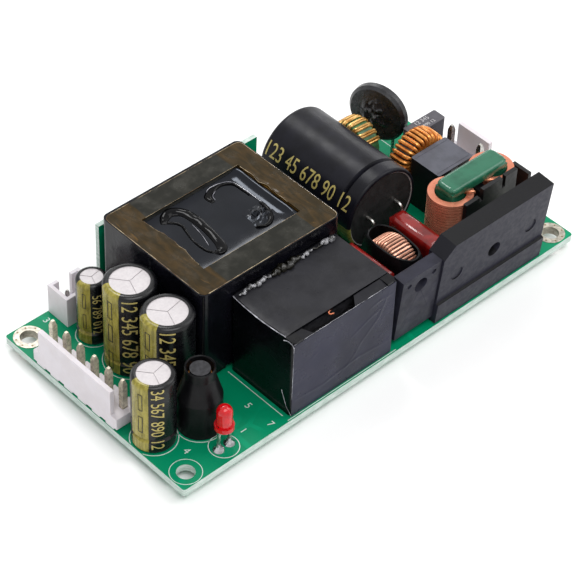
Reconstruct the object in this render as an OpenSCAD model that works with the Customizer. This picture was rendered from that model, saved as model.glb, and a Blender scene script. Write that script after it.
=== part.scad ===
// Open frame switching power supply on a 4 x 2 inch board.
// Origin: centre of the four mounting holes, on the board's underside.
// +X runs from the output end to the mains end, +Z points up.
// Places of parts are given from the board's corner at the output end and the far edge.

/* [Board] */
// board length
board_l = 101.6; // [96:0.1:120]
// board width
board_w = 50.8; // [50:0.1:70]
// board thickness
board_t = 1.6; // [1:0.1:2.4]
// corner radius of the board
board_corner_r = 0.6; // [0.2:0.1:2]
// from the board's edges to the middle of a mounting hole
hole_in = 3.175; // [3:0.005:5]
// diameter of a mounting hole
mount_hole_d = 3.5; // [3:0.1:3.8]
// diameter of the tinned pad round a mounting hole
mount_pad_d = 5.9; // [5:0.1:6]
// thickness of the tinned pads
pad_t = 0.1; // [0.05:0.05:0.3]
// wall of the plating in a padded hole
plating_t = 0.15; // [0.1:0.05:0.3]

/* [Leads and solder] */
// space between a lead and the wall of its hole
hole_clear = 0.15; // [0.1:0.05:0.3]
// length of lead under the board
lead_stick = 1.1; // [0.6:0.1:1.4]
// height of a solder joint under the board
solder_h = 1.7; // [1.6:0.1:2]
// width of solder beside a lead
solder_w = 0.5; // [0.4:0.05:0.6]
// gap between a lead and the pocket in its solder joint
solder_clear = 0.02; // [0.01:0.01:0.05]
// diameter of a capacitor or winding lead
wire_d = 0.7; // [0.5:0.05:0.8]
// gap under parts that stand on the board
seat_gap = 0.1; // [0.05:0.05:0.3]

/* [Pin headers] */
// pitch of the power pins
vh_pitch = 3.96; // [3.5:0.02:4.2]
// width of a square power pin
vh_pin_w = 1.1; // [0.8:0.05:1.3]
// height of the power pins above the board
vh_pin_h = 9.7; // [8:0.1:12]
// height of the back wall of a power header
vh_wall_h = 8.8; // [7:0.1:10]
// thickness of the back wall of a power header
vh_wall_t = 1; // [0.6:0.1:1.4]
// height of the base of a power header
vh_base_h = 3; // [2:0.1:4]
// from the outside of the wall to the pins
vh_pin_in = 3.3; // [2.8:0.1:4]
// depth of the base of a power header
vh_base_w = 5.6; // [5:0.1:6]
// number of output pins
out_pins = 6; // [4:1:6]
// how far the output header stands in from the board's end
out_header_in = 0.1; // [0:0.1:1]
// centre of the output header across the board
out_header_y = -20.44; // [-21.4:0.02:-19.4]
// outside of the mains header along the board
in_header_x = 101.9; // [101.6:0.1:102.2]
// centre of the mains header across the board
in_header_y = -23.3; // [-23.9:0.1:-23]
// pitch of the auxiliary pins
xh_pitch = 2.5; // [2:0.1:2.6]
// length of the auxiliary header
xh_l = 7.4; // [6:0.1:7.6]
// depth of the auxiliary header
xh_w = 5.75; // [5:0.05:6]
// height of the auxiliary header
xh_h = 7; // [5:0.1:8]
// wall of the auxiliary header
xh_wall = 0.8; // [0.5:0.1:1]
// width of an auxiliary pin
xh_pin_w = 0.64; // [0.5:0.02:0.8]
// end of the auxiliary header from the output end of the board
xh_in_x = 10.2; // [9:0.1:10.4]
// auxiliary header from the far edge of the board
xh_in_y = 0.2; // [0.1:0.1:0.6]

/* [Standing capacitors] */
// diameter of an output capacitor over its sleeve
out_cap_d = 10; // [8:0.1:10.2]
// height of an output capacitor
out_cap_h = 20; // [16:0.1:25]
// centre of the output capacitors along the board
out_cap_x = 13.9; // [13.6:0.1:14]
// centre of the pair of output capacitors across the board
out_cap_y = -25.15; // [-25.4:0.05:-24.9]
// distance between the two output capacitors
out_cap_gap = 0.4; // [0.2:0.1:0.8]
// lead pitch of an output capacitor
out_cap_pitch = 5; // [3.5:0.1:5]
// diameter of the filter capacitor over its sleeve
filter_cap_d = 8.2; // [6.3:0.1:8.4]
// height of the filter capacitor
filter_cap_h = 16.6; // [11:0.1:20]
// centre of the filter capacitor along the board
filter_cap_x = 4.3; // [4:0.1:4.4]
// centre of the filter capacitor across the board
filter_cap_y = -37.7; // [-38.4:0.1:-37.4]
// lead pitch of the filter capacitor
filter_cap_pitch = 3.5; // [2.5:0.1:3.5]
// diameter of the bias capacitor over its sleeve
bias_cap_d = 6.1; // [5:0.1:6.5]
// height of the bias capacitor
bias_cap_h = 15; // [11:0.1:16]
// centre of the bias capacitor along the board
bias_cap_x = 12.7; // [12.4:0.1:13]
// centre of the bias capacitor across the board
bias_cap_y = -10.5; // [-10.8:0.1:-10.2]
// lead pitch of the bias capacitor
bias_cap_pitch = 2.5; // [2:0.1:2.5]
// wall of a capacitor sleeve
sleeve_t = 0.15; // [0.1:0.05:0.2]
// gap between a capacitor can and its sleeve
sleeve_gap = 0.03; // [0.01:0.01:0.05]
// rounding of a can's top edge
can_round = 0.7; // [0.4:0.1:0.9]
// share of the top that the sleeve leaves bare
sleeve_open = 0.75; // [0.6:0.01:0.8]
// depth of the crimp groove in a can
crimp_depth = 0.45; // [0.3:0.05:0.6]
// height of the rubber seal in a can
seal_h = 2; // [1.5:0.1:2.5]

/* [Bulk capacitor] */
// diameter of the bulk capacitor over its sleeve
bulk_d = 18; // [16:0.1:18]
// length of the bulk capacitor
bulk_l = 25.4; // [22:0.1:26]
// centre of the bulk capacitor along the board
bulk_x = 70.6; // [70.4:0.1:70.8]
// lead end of the bulk capacitor across the board
bulk_y = -27.7; // [-27.9:0.1:-27.6]
// lead pitch of the bulk capacitor
bulk_pitch = 7.5; // [5:0.1:7.5]
// how far the leads run out before they bend down
bulk_lead_out = 1.7; // [1.5:0.1:1.8]
// bend radius of the bulk capacitor's leads
bulk_bend_r = 1; // [0.8:0.1:1.2]

/* [Rod choke] */
// centre of the rod choke along the board
rod_x = 12.7; // [12.5:0.1:13]
// centre of the rod choke across the board
rod_y = -40.5; // [-40.7:0.1:-40.4]
// diameter of the ferrite rod
rod_d = 3.8; // [3:0.1:4]
// height of the rod choke
rod_h = 14.6; // [12:0.1:16]
// diameter of the shrink sleeve at its foot
rod_foot_d = 8.4; // [8:0.1:8.6]
// diameter of the shrink sleeve at its top
rod_top_d = 5.7; // [5.4:0.1:6]
// wall of the shrink sleeves
shrink_t = 0.35; // [0.2:0.05:0.4]

/* [Status light] */
// diameter of the lens
led_d = 3; // [3:0.1:3.2]
// length of the lens from flange to dome
led_l = 5.5; // [5:0.1:6]
// diameter of the flange
led_flange_d = 3.7; // [3.4:0.1:3.8]
// height of the flange above the board
led_lift = 5; // [3:0.1:7]
// centre of the light along the board
led_x = 12.3; // [11.8:0.1:12.8]
// centre of the light across the board
led_y = -47.5; // [-47.7:0.1:-47.2]
// pitch of its leads
led_pitch = 2.54; // [2:0.02:2.6]
// width of its leads
led_lead_w = 0.5; // [0.4:0.05:0.6]

/* [Main transformer] */
// length over the tape
tx_l = 33.8; // [32:0.1:34]
// width over the tape
tx_w = 28.4; // [26:0.1:28.6]
// height of the top above the board
tx_h = 22; // [20:0.1:24]
// centre along the board
tx_x = 36.3; // [36.2:0.1:36.4]
// centre across the board
tx_y = -19.4; // [-19.5:0.1:-19.3]
// width of the yokes at both ends
tx_yoke = 4.7; // [4:0.1:5.2]
// width of the outer legs
tx_leg = 5.2; // [4.5:0.1:5.4]
// diameter of the round middle leg
tx_core_d = 9; // [8:0.1:9.5]
// thickness of the tape round the core
tape_t = 0.3; // [0.2:0.05:0.4]
// height of the terminal rails under the core
tx_rail_h = 3; // [2.5:0.1:4]
// depth of the winding's top below the core's top
tx_sink = 1.9; // [1.2:0.1:3]
// number of pins in a row
tx_pins = 5; // [3:1:5]
// pitch of the pins
tx_pitch = 5; // [4:0.1:5.5]
// diameter of a pin
tx_pin_d = 0.8; // [0.6:0.1:1]
// length of the strip tape on the top, beside the window
tx_amber_l = 6.1; // [5.5:0.1:6.4]
// gap between fitted pieces of a wound part
fit = 0.1; // [0.05:0.01:0.15]

/* [Boost choke] */
// length over the tape
bc_l = 25.4; // [24:0.1:26]
// width over the tape
bc_w = 16.4; // [15:0.1:16.5]
// height of the top above the board
bc_h = 18.7; // [17:0.1:20]
// centre along the board
bc_x = 38.7; // [38.6:0.1:38.8]
// centre across the board
bc_y = -42; // [-42.1:0.1:-42]
// thickness of the core across the board
bc_core_w = 11; // [10:0.1:11.5]
// thickness of the top and bottom yokes
bc_yoke = 3; // [2.5:0.1:3.4]
// width of the outer legs
bc_leg = 3; // [2.5:0.1:3.3]
// diameter of the middle leg
bc_mid_d = 7.5; // [6:0.1:8]
// height of the foot under the core
bc_foot_h = 2.2; // [1.8:0.1:3]
// height of the slit below the top sheet
bc_slit = 1.1; // [0.8:0.1:1.6]
// how far the top sheet stands back from the front
bc_back = 2.2; // [1.8:0.1:2.6]
// radius of the glue bead along the top
glue_r = 0.85; // [0.6:0.05:1]

/* [Power transistor] */
// width of the transistor
tr_w = 10; // [9.6:0.1:10.1]
// height of the transistor's body
tr_h = 15.4; // [14:0.1:16]
// thickness of the transistor's foot
tr_t = 4.5; // [4:0.1:4.7]
// thickness of the transistor's top
tr_top_t = 2.8; // [2.4:0.1:3]
// diameter of the transistor's hole
tr_hole_d = 3.2; // [2.8:0.1:3.4]
// left side of the transistor along the board
tr_x = 52.7; // [52.3:0.1:52.7]
// foot of the transistor across the board
tr_y = -49.7; // [-49.9:0.1:-49.2]
// gap under the transistor
tr_lift = 1.6; // [0.5:0.1:2]
// outward lean of the transistor in degrees
tr_lean = 4.5; // [0:0.5:5]
// pitch of the transistor's leads
tr_pitch = 2.54; // [2.4:0.02:2.6]

/* [Bridge rectifier] */
// width of the rectifier
br_w = 29.2; // [27.8:0.1:30]
// height of the rectifier
br_h = 19.2; // [18:0.1:20]
// thickness of the rectifier's foot
br_t = 4.6; // [4.2:0.1:4.8]
// thickness of the rectifier's upper part
br_top_t = 4; // [3.4:0.1:4.3]
// height of the thick foot
br_foot_h = 5.1; // [4.5:0.1:5.6]
// left side of the rectifier along the board
br_x = 62.85; // [62.8:0.05:63.1]
// foot of the rectifier across the board
br_y = -50.5; // [-50.6:0.05:-50]
// outward lean of the rectifier in degrees
br_lean = 5; // [0:0.1:6]
// size of the cut corner
br_chamfer = 2.6; // [2:0.1:3]
// diameter of the rectifier's hole
br_hole_d = 3.2; // [2.8:0.1:3.6]
// height of the rectifier's hole
br_hole_z = 10.6; // [10:0.1:12]
// distance of the round marks from the hole
br_mark_x = 10.1; // [9:0.1:10.4]

/* [Line choke] */
// centre of the line choke along the board
lc_x = 85.8; // [85.6:0.1:86]
// centre of the line choke across the board
lc_y = -36.4; // [-36.6:0.1:-36.2]
// length of the choke's core
lc_l = 15.2; // [14.9:0.1:15.4]
// width of the choke's core
lc_w = 4.6; // [4:0.1:4.7]
// height of the choke's top above the board
lc_h = 16.3; // [14:0.1:17]
// thickness of the core's yokes
lc_yoke = 2; // [1.8:0.1:2.4]
// width of the core's legs
lc_leg = 3.9; // [3.4:0.1:4]
// distance between the two coils
lc_pitch = 11.3; // [11.2:0.1:11.5]
// outside diameter of a coil
lc_coil_d = 9; // [8.8:0.1:9.2]
// inside diameter of a coil
lc_coil_in = 6.3; // [6.2:0.05:6.5]
// turns of flat wire in a coil
lc_turns = 15; // [8:1:18]
// height of the choke's plastic floor
lc_floor = 1.2; // [1:0.1:1.6]

/* [Mains capacitors] */
// length of the X capacitor
xc_l = 9.6; // [9:0.1:10]
// width of the X capacitor
xc_w = 7.7; // [7:0.1:7.8]
// height of the X capacitor
xc_h = 11.4; // [10:0.1:13]
// centre of the X capacitor along the board
xc_x = 88.5; // [88.2:0.1:88.8]
// centre of the X capacitor across the board
xc_y = -26.2; // [-26.3:0.1:-26.1]
// length of the box capacitor
yc_l = 9; // [8.5:0.1:9.2]
// width of the box capacitor
yc_w = 3.2; // [3:0.1:3.3]
// height of the box capacitor
yc_h = 9.8; // [9:0.1:11]
// centre of the box capacitor along the board
yc_x = 94.7; // [94.6:0.1:95]
// centre of the box capacitor across the board
yc_y = -15.3; // [-15.4:0.1:-15.2]
// lead pitch of the box capacitors
box_pitch = 7.5; // [6:0.1:7.5]

/* [Film capacitors] */
// length of a film capacitor
fc_l = 12.6; // [12:0.1:13]
// thickness of a film capacitor
fc_t = 4.4; // [4:0.1:4.6]
// height of a film capacitor
fc_h = 9.8; // [8:0.1:11]
// rounding of a film capacitor
fc_r = 1.7; // [1.2:0.1:1.9]
// first film capacitor along the board
fa_x = 57.2; // [57:0.1:57.3]
// first film capacitor across the board
fa_y = -37; // [-37.2:0.1:-36.8]
// second film capacitor along the board
fb_x = 71.1; // [71:0.1:71.3]
// second film capacitor across the board
fb_y = -36.7; // [-36.9:0.1:-36.6]
// lead pitch of a film capacitor
fc_pitch = 10; // [7.5:0.1:10]

/* [Ring chokes] */
// outside diameter of the ring choke's core
rc_d = 11.4; // [11:0.1:11.6]
// hole of the ring choke's core
rc_in = 6; // [5.6:0.1:6.4]
// thickness of the ring choke's core
rc_t = 3.4; // [3:0.1:3.6]
// wire of the ring choke
rc_wire = 0.62; // [0.5:0.02:0.64]
// turns on the ring choke
rc_turns = 24; // [12:1:25]
// ring choke along the board
rc_x = 88.5; // [88.3:0.1:88.8]
// ring choke across the board
rc_y = -19.5; // [-19.6:0.05:-19.4]
// outside diameter of the mains ring's core
mc_d = 9.8; // [9.4:0.1:10]
// hole of the mains ring's core
mc_in = 4.8; // [4.6:0.1:5.2]
// thickness of the mains ring's core
mc_t = 3.9; // [3.6:0.1:4]
// wire of the mains ring
mc_wire = 0.62; // [0.5:0.02:0.64]
// turns on each half of the mains ring
mc_turns = 8; // [4:1:8]
// mains ring along the board
mc_x = 83.5; // [83.4:0.1:83.8]
// mains ring across the board
mc_y = -7.5; // [-7.7:0.1:-7.4]
// outside diameter of the sleeved choke's core
sc_d = 9.6; // [9.2:0.1:9.8]
// hole of the sleeved choke's core
sc_in = 4.6; // [4.4:0.1:5]
// thickness of the sleeved choke's core
sc_t = 4.2; // [4:0.1:4.4]
// wire of the sleeved choke
sc_wire = 0.55; // [0.5:0.01:0.56]
// turns on the sleeved choke
sc_turns = 22; // [12:1:22]
// sleeved choke along the board
sc_x = 64.4; // [64.2:0.1:64.6]
// sleeved choke across the board
sc_y = -37; // [-37.2:0.1:-36.8]
// inside length of its shrink sleeve
sc_sleeve_l = 11.7; // [11.5:0.1:12]
// inside width of its shrink sleeve
sc_sleeve_w = 6; // [5.9:0.1:6.2]
// corner radius of the tube round the choke
sc_sleeve_r = 1.7; // [1.4:0.1:1.8]
// height of its shrink sleeve
sc_sleeve_h = 10.4; // [9:0.1:11]

/* [Thermistor] */
// diameter of the disc
th_d = 13; // [12:0.1:13.4]
// thickness of the disc
th_t = 2.4; // [2:0.1:2.8]
// height of the disc's foot above the board
th_lift = 3.4; // [2.5:0.1:5]
// disc along the board
th_x = 90.2; // [90:0.1:90.4]
// disc across the board
th_y = -6.8; // [-6.9:0.1:-6.7]
// turn of the disc towards the output end in degrees
th_turn = 15; // [0:1:18]
// lead pitch of the disc
th_pitch = 7.5; // [5:0.1:7.5]

/* [Daughter board] */
// length of the daughter board
db_l = 39.4; // [36:0.1:39.6]
// height of the daughter board
db_h = 18.2; // [16:0.1:20]
// thickness of the daughter board
db_t = 1; // [0.8:0.1:1.2]
// left end of the daughter board
db_x = 19.6; // [19.2:0.1:19.8]
// near face of the daughter board
db_y = -4.3; // [-4.4:0.05:-4.1]
// number of its pins
db_pins = 7; // [4:1:8]
// pitch of its pins
db_pitch = 5.08; // [4.5:0.02:5.1]
// width of its pins
db_pin_w = 0.64; // [0.5:0.02:0.7]

/* [Hidden] */

// smoothness of large, middle and thin round forms
fn_big = 72;
fn_mid = 40;
fn_wire = 16;
// a hair added to a cut so that it clears the face
eps = 0.01;
// length of a tool that cuts right through
thru = 60;

top = board_t;
seat = board_t + seat_gap;

// ---- rounded outlines and common forms ----

module rounded_rect(l, w, r) {
    square([l - 2 * r, w], center = true);
    square([l, w - 2 * r], center = true);
    for (i = [-1, 1])
        for (j = [-1, 1])
            translate([i * (l / 2 - r), j * (w / 2 - r)])
                circle(r = r, $fn = fn_mid);
}

module rounded_block(l, w, h, r) {
    linear_extrude(h)
        rounded_rect(l, w, r);
}

module block(l, w, h) {
    translate([-l / 2, -w / 2, 0])
        cube([l, w, h]);
}

// a thin disc with a hole
module washer(d, hole, t) {
    difference() {
        cylinder(d = d, h = t, $fn = fn_mid);
        translate([0, 0, -eps])
            cylinder(d = hole, h = t + 2 * eps, $fn = fn_mid);
    }
}

// one closed turn of wire round a core section of l x w
module turn(l, w, r, wire) {
    for (s = [[1, 1, 0], [-1, 1, 90], [-1, -1, 180], [1, -1, 270]])
        translate([s.x * (l / 2 - r), s.y * (w / 2 - r), 0])
            rotate([0, 0, s.z])
                rotate_extrude(angle = 90, $fn = fn_mid)
                    translate([r, 0])
                        circle(d = wire, $fn = fn_wire);
    for (m = [-1, 1]) {
        translate([m * l / 2, 0, 0])
            rotate([90, 0, 0])
                cylinder(d = wire, h = w - 2 * r, center = true, $fn = fn_wire);
        translate([0, m * w / 2, 0])
            rotate([0, 90, 0])
                cylinder(d = wire, h = l - 2 * r, center = true, $fn = fn_wire);
    }
}

// ring core with its axis along Z
module ring_core(d, hole, t) {
    edge = t / 8;
    rotate_extrude($fn = fn_big)
        translate([(d + hole) / 4, 0])
            rounded_rect((d - hole) / 2, t, edge);
}

// turns spread over an arc of a ring core, from angle a0 to a1
module ring_turns(d, hole, t, wire, n, a0, a1) {
    gap = wire / 2 + fit;
    mid = (d + hole) / 4;
    for (i = [0 : n - 1])
        rotate([0, 0, a0 + (a1 - a0) * i / (n - 1)])
            translate([mid, 0, 0])
                rotate([90, 0, 0])
                    turn((d - hole) / 2 + 2 * gap, t + 2 * gap, wire, wire);
}

// ---- where the leads go through the board: x, y, lead width ----

function sized(points, d) = [for (p = points) [p.x, p.y, d]];
function pair_x(x, y, pitch) = [[x - pitch / 2, y], [x + pitch / 2, y]];
function pair_y(x, y, pitch) = [[x, y - pitch / 2], [x, y + pitch / 2]];
function row_y(x, y, n, pitch) = [for (i = [0 : n - 1]) [x, y + (i - (n - 1) / 2) * pitch]];
function row_x(x, y, n, pitch) = [for (i = [0 : n - 1]) [x + (i - (n - 1) / 2) * pitch, y]];

vh_pin_diag = vh_pin_w * sqrt(2);
out_pin_xy = row_y(out_header_in + vh_pin_in, out_header_y, out_pins, vh_pitch);
in_pin_xy = pair_y(in_header_x - vh_pin_in, in_header_y, 2 * vh_pitch);
xh_x = xh_in_x + xh_l / 2;
xh_y = -xh_in_y - xh_w / 2;
xh_pin_xy = pair_x(xh_x, xh_y, xh_pitch);

out_cap_step = out_cap_d + out_cap_gap;
out_cap_xy = pair_y(out_cap_x, out_cap_y, out_cap_step);
out_cap_leads = [for (c = out_cap_xy) each pair_y(c.x, c.y, out_cap_pitch)];
filter_cap_leads = pair_y(filter_cap_x, filter_cap_y, filter_cap_pitch);
bias_cap_leads = pair_y(bias_cap_x, bias_cap_y, bias_cap_pitch);
bulk_lead_y = bulk_y - bulk_lead_out;
bulk_leads = pair_x(bulk_x, bulk_lead_y, bulk_pitch);
bulk_z = seat + bulk_d / 2;

rod_lead_in = rod_foot_d / 2 - shrink_t - wire_d;
rod_leads = pair_x(rod_x, rod_y, 2 * rod_lead_in);
led_leads = pair_x(led_x, led_y, led_pitch);

tx_core_l = tx_l - 2 * (tape_t + fit);
tx_core_w = tx_w - 2 * (tape_t + fit);
tx_rail_w = tx_yoke + 1;
tx_pin_in = tx_core_l / 2 - tx_rail_w / 2;
tx_leads = [for (s = [-1, 1]) each row_y(tx_x + s * tx_pin_in, tx_y, tx_pins, tx_pitch)];

bc_core_l = bc_l - 2 * (tape_t + fit);
bc_foot_w = bc_w - 2 * (tape_t + fit);
bc_pins = 4;
bc_pin_pitch = 5;
bc_pin_edge = 1.3;
bc_pin_in = bc_foot_w / 2 - bc_pin_edge;
bc_leads = [for (s = [-1, 1]) each row_x(bc_x, bc_y + s * bc_pin_in, bc_pins, bc_pin_pitch)];

flat_w = 1;
flat_t = 0.6;
flat_diag = sqrt(flat_w * flat_w + flat_t * flat_t);
tr_lead_y = tr_y + tr_t / 2;
tr_leads = row_x(tr_x + tr_w / 2, tr_lead_y, 3, tr_pitch);
br_lead_y = br_y + br_t / 2;
br_mid = br_x + br_w / 2;
br_lead_at = [-12.5, -2.5, 5, 12.5];
br_leads = [for (o = br_lead_at) [br_mid + o, br_lead_y]];

lc_coil_x = [lc_x - lc_pitch / 2, lc_x + lc_pitch / 2];
lc_lead_y = (lc_coil_d + lc_coil_in) / 4;
lc_leads = [for (x = lc_coil_x) each pair_y(x, lc_y, 2 * lc_lead_y)];

xc_leads = pair_x(xc_x, xc_y, box_pitch);
yc_leads = pair_x(yc_x, yc_y, box_pitch);
fc_leads = concat(pair_y(fa_x, fa_y, fc_pitch), pair_y(fb_x, fb_y, fc_pitch));
th_along = [-sin(th_turn), cos(th_turn)] * th_pitch / 2;
th_leads = [for (s = [-1, 1]) [th_x, th_y] + s * th_along];

// a ring's leads drop from its two lowest outer turns
function ring_r(d, wire) = d / 2 + fit + wire;
rc_lead_y = rc_t / 2 + fit + rc_wire / 2;
rc_lead_x = rc_d / 4;
rc_leads = pair_x(rc_x, rc_y - rc_lead_y, 2 * rc_lead_x);
mc_lead_x = mc_t / 2 + fit + mc_wire / 2;
mc_lead_y = mc_d / 4;
mc_leads = [for (i = [-1, 1]) each pair_y(mc_x + i * mc_lead_x, mc_y, 2 * mc_lead_y)];
sc_lead_x = sc_t / 2 + fit + sc_wire / 2;
sc_leads = pair_y(sc_x - sc_lead_x, sc_y, sc_d / 2);

db_leads = row_x(db_x + db_l / 2, db_y + db_t / 2, db_pins, db_pitch);

wire_leads = concat(
    out_cap_leads, filter_cap_leads, bias_cap_leads, bulk_leads, rod_leads,
    xc_leads, yc_leads, fc_leads, th_leads
);
leads = concat(
    sized(out_pin_xy, vh_pin_diag),
    sized(in_pin_xy, vh_pin_diag),
    sized(xh_pin_xy, xh_pin_w * sqrt(2)),
    sized(wire_leads, wire_d),
    sized(led_leads, led_lead_w * sqrt(2)),
    sized(tx_leads, tx_pin_d),
    sized(bc_leads, tx_pin_d),
    sized(tr_leads, flat_diag),
    sized(br_leads, flat_diag),
    sized(lc_leads, wire_d),
    sized(rc_leads, rc_wire),
    sized(mc_leads, mc_wire),
    sized(sc_leads, sc_wire),
    sized(db_leads, db_pin_w * sqrt(2))
);

// the hole at the output end's near corner has no pad
bare_xy = [hole_in, hole_in - board_w];
padded_xy = [[hole_in, -hole_in], [board_l - hole_in, -hole_in], [board_l - hole_in, hole_in - board_w]];

// ---- board ----

plating_d = mount_hole_d + 2 * plating_t;

module pcb() {
    color([0.05, 0.42, 0.28])
        difference() {
            translate([board_l / 2, -board_w / 2, 0])
                rounded_block(board_l, board_w, board_t, board_corner_r);
            translate([bare_xy.x, bare_xy.y, -eps])
                cylinder(d = mount_hole_d, h = board_t + 2 * eps, $fn = fn_mid);
            for (p = padded_xy)
                translate([p.x, p.y, -eps])
                    cylinder(d = plating_d + 2 * fit, h = board_t + 2 * eps, $fn = fn_mid);
            for (p = leads)
                translate([p.x, p.y, -eps])
                    cylinder(d = p.z + 2 * hole_clear, h = board_t + 2 * eps, $fn = fn_wire);
        }
}

// a pad on each side of the board, joined through the hole by its plating
module mounting_pads() {
    color([0.78, 0.76, 0.72])
        for (p = padded_xy)
            translate([p.x, p.y, -pad_t]) {
                for (z = [0, board_t + pad_t])
                    translate([0, 0, z])
                        washer(mount_pad_d, mount_hole_d, pad_t);
                washer(plating_d, mount_hole_d, board_t + 2 * pad_t);
            }
}

module solder_joints() {
    tip_w = solder_w / 3;
    pocket_h = lead_stick + 2 * solder_clear;
    color([0.75, 0.75, 0.77])
        for (p = leads)
            translate([p.x, p.y, -solder_h])
                difference() {
                    cylinder(r1 = p.z / 2 + tip_w, r2 = p.z / 2 + solder_w, h = solder_h, $fn = fn_wire);
                    translate([0, 0, solder_h - pocket_h + solder_clear])
                        cylinder(d = p.z + 2 * solder_clear, h = pocket_h, $fn = fn_wire);
                }
}

chip = [2, 1.25, 0.55];
small_ic = [4.9, 3.9, 1.3];
ic_foot = [0.4, 0.95, 0.25];
ic_pitch = 1.27;
ic_step = 8;
chip_step = 3.4;
chip_row = 5.2;

// a small chip package with four feet a side, lying on z = 0
module small_outline() {
    translate([0, 0, ic_foot.z / 2])
        block(small_ic.x, small_ic.y, small_ic.z);
    for (s = [-1, 1])
        for (i = [-1.5 : 1 : 1.5])
            translate([i * ic_pitch, s * (small_ic.y / 2 + ic_foot.y / 2 - ic_foot.x / 2), 0])
                block(ic_foot.x, ic_foot.y + ic_foot.x, ic_foot.z);
}

module smd_parts() {
    smd_x = tx_x - ic_step / 2;
    color([0.12, 0.12, 0.13])
        mirror([0, 0, 1]) {
            for (i = [0, 1])
                translate([smd_x + i * ic_step, tx_y, 0])
                    small_outline();
            for (i = [-2 : 2])
                for (j = [-1, 1])
                    translate([tx_x + i * chip_step, tx_y + j * chip_row, 0])
                        block(chip.x, chip.y, chip.z);
        }
}

// ---- pin headers ----

// wall on the outside at x = 0, base towards +x, n places along y
module power_header(n, pins) {
    l = n * vh_pitch;
    wall_l = l - vh_pitch / 2 - 1.4;
    block_w = vh_pitch * 0.6;
    notch = vh_base_w - vh_pin_in - vh_pin_w;
    foot = 0.4;
    difference() {
        union() {
            translate([0, -l / 2, foot])
                cube([vh_base_w, l, vh_base_h - foot]);
            translate([0, -wall_l / 2, foot])
                cube([vh_wall_t, wall_l, vh_wall_h - foot]);
            for (i = [0 : n - 1])
                translate([0, (i - (n - 1) / 2) * vh_pitch - block_w / 2, 0])
                    cube([vh_base_w, block_w, vh_base_h]);
        }
        for (i = [0 : n - 2])
            translate([vh_base_w - notch, (i + 1 - n / 2) * vh_pitch - (vh_pitch - block_w) / 2, -eps])
                cube([notch + eps, vh_pitch - block_w, vh_base_h + 2 * eps]);
        for (i = [0 : n - 1])
            translate([vh_pin_in, (i - (n - 1) / 2) * vh_pitch, -eps])
                block(vh_pin_w + fit, vh_pin_w + fit, vh_base_h + 2 * eps);
    }
}

// a square pin with a tapered tip, through the board
module square_pin(w, h) {
    taper = w;
    translate([0, 0, -lead_stick])
        block(w, w, lead_stick + top + h - taper);
    translate([0, 0, top + h - taper])
        rotate([0, 0, 45])
            cylinder(d1 = w * sqrt(2), d2 = w * sqrt(2) / 2, h = taper, $fn = 4);
}

module output_header() {
    color([0.88, 0.87, 0.88])
        translate([out_header_in, out_header_y, top])
            power_header(out_pins, out_pins);
}

module output_header_pins() {
    color([0.8, 0.76, 0.7])
        for (p = out_pin_xy)
            translate([p.x, p.y, 0])
                square_pin(vh_pin_w, vh_pin_h);
}

module mains_header() {
    color([0.88, 0.87, 0.88])
        translate([in_header_x, in_header_y, top])
            rotate([0, 0, 180])
                power_header(3, 2);
}

module mains_header_pins() {
    color([0.35, 0.33, 0.32])
        for (p = in_pin_xy)
            translate([p.x, p.y, 0])
                square_pin(vh_pin_w, vh_pin_h);
}

module aux_header() {
    floor_t = 1.6;
    slot_w = 3;
    color([0.88, 0.87, 0.88])
        translate([xh_x, xh_y, top])
            difference() {
                block(xh_l, xh_w, xh_h);
                translate([0, 0, floor_t])
                    block(xh_l - 2 * xh_wall, xh_w - 2 * xh_wall, xh_h);
                translate([0, xh_w / 2, floor_t])
                    block(slot_w, 2 * xh_wall, xh_h);
                for (s = [-1, 1])
                    translate([s * xh_pitch / 2, 0, -eps])
                        block(xh_pin_w + fit, xh_pin_w + fit, xh_h);
            }
}

module aux_header_pins() {
    color([0.8, 0.76, 0.7])
        for (p = xh_pin_xy)
            translate([p.x, p.y, 0])
                square_pin(xh_pin_w, xh_h - xh_wall);
}

// ---- capacitors ----

rim_r = 0.4;
groove_w = 0.5;
arc_step = 15;

// side of a can from the lead end up, moved out by o
function can_path(d, h, lip, top_lip, zg, dg, o) = let (r = d / 2 - sleeve_t - sleeve_gap) concat(
    [[lip, -o]],
    [for (a = [-90 : arc_step : 0]) [r - rim_r + (rim_r + o) * cos(a), rim_r + (rim_r + o) * sin(a)]],
    [[r + o, zg - groove_w], [r + o - dg, zg], [r + o, zg + groove_w]],
    [for (a = [0 : arc_step : 90]) [r - can_round, h - can_round] + (can_round + o) * [cos(a), sin(a)]],
    [[top_lip, h + o]]
);
function reversed(list) = [for (i = [len(list) - 1 : -1 : 0]) list[i]];
function can_len(h) = h - 2 * (sleeve_t + sleeve_gap);
function seal_r(d) = d / 2 - sleeve_t - sleeve_gap - rim_r - 0.3;
function groove_z(d) = seal_h + groove_w + d / 20;

// a can stands on its lead end at z = 0 of the sleeve
module can(d, h, dg) {
    n = can_len(h);
    score = 0.15;
    translate([0, 0, sleeve_t + sleeve_gap])
        difference() {
            rotate_extrude($fn = fn_big)
                polygon(concat(
                    can_path(d, n, seal_r(d), 0, groove_z(d), dg, 0),
                    [[0, seal_h], [seal_r(d), seal_h]]
                ));
            for (a = [10, 130, 250])
                rotate([0, 0, a])
                    translate([0, -score / 2, n - score])
                        cube([d * sleeve_open / 2, score, score + eps]);
        }
}

module sleeve(d, h, dg) {
    n = can_len(h);
    lip = seal_r(d) + rim_r / 2;
    open_r = d / 2 * sleeve_open;
    inner = can_path(d, n, lip, open_r, groove_z(d), dg, sleeve_gap);
    outer = can_path(d, n, lip, open_r, groove_z(d), dg, sleeve_gap + sleeve_t);
    translate([0, 0, sleeve_t + sleeve_gap])
        rotate_extrude($fn = fn_big)
            polygon(concat(outer, reversed(inner)));
}

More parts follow.
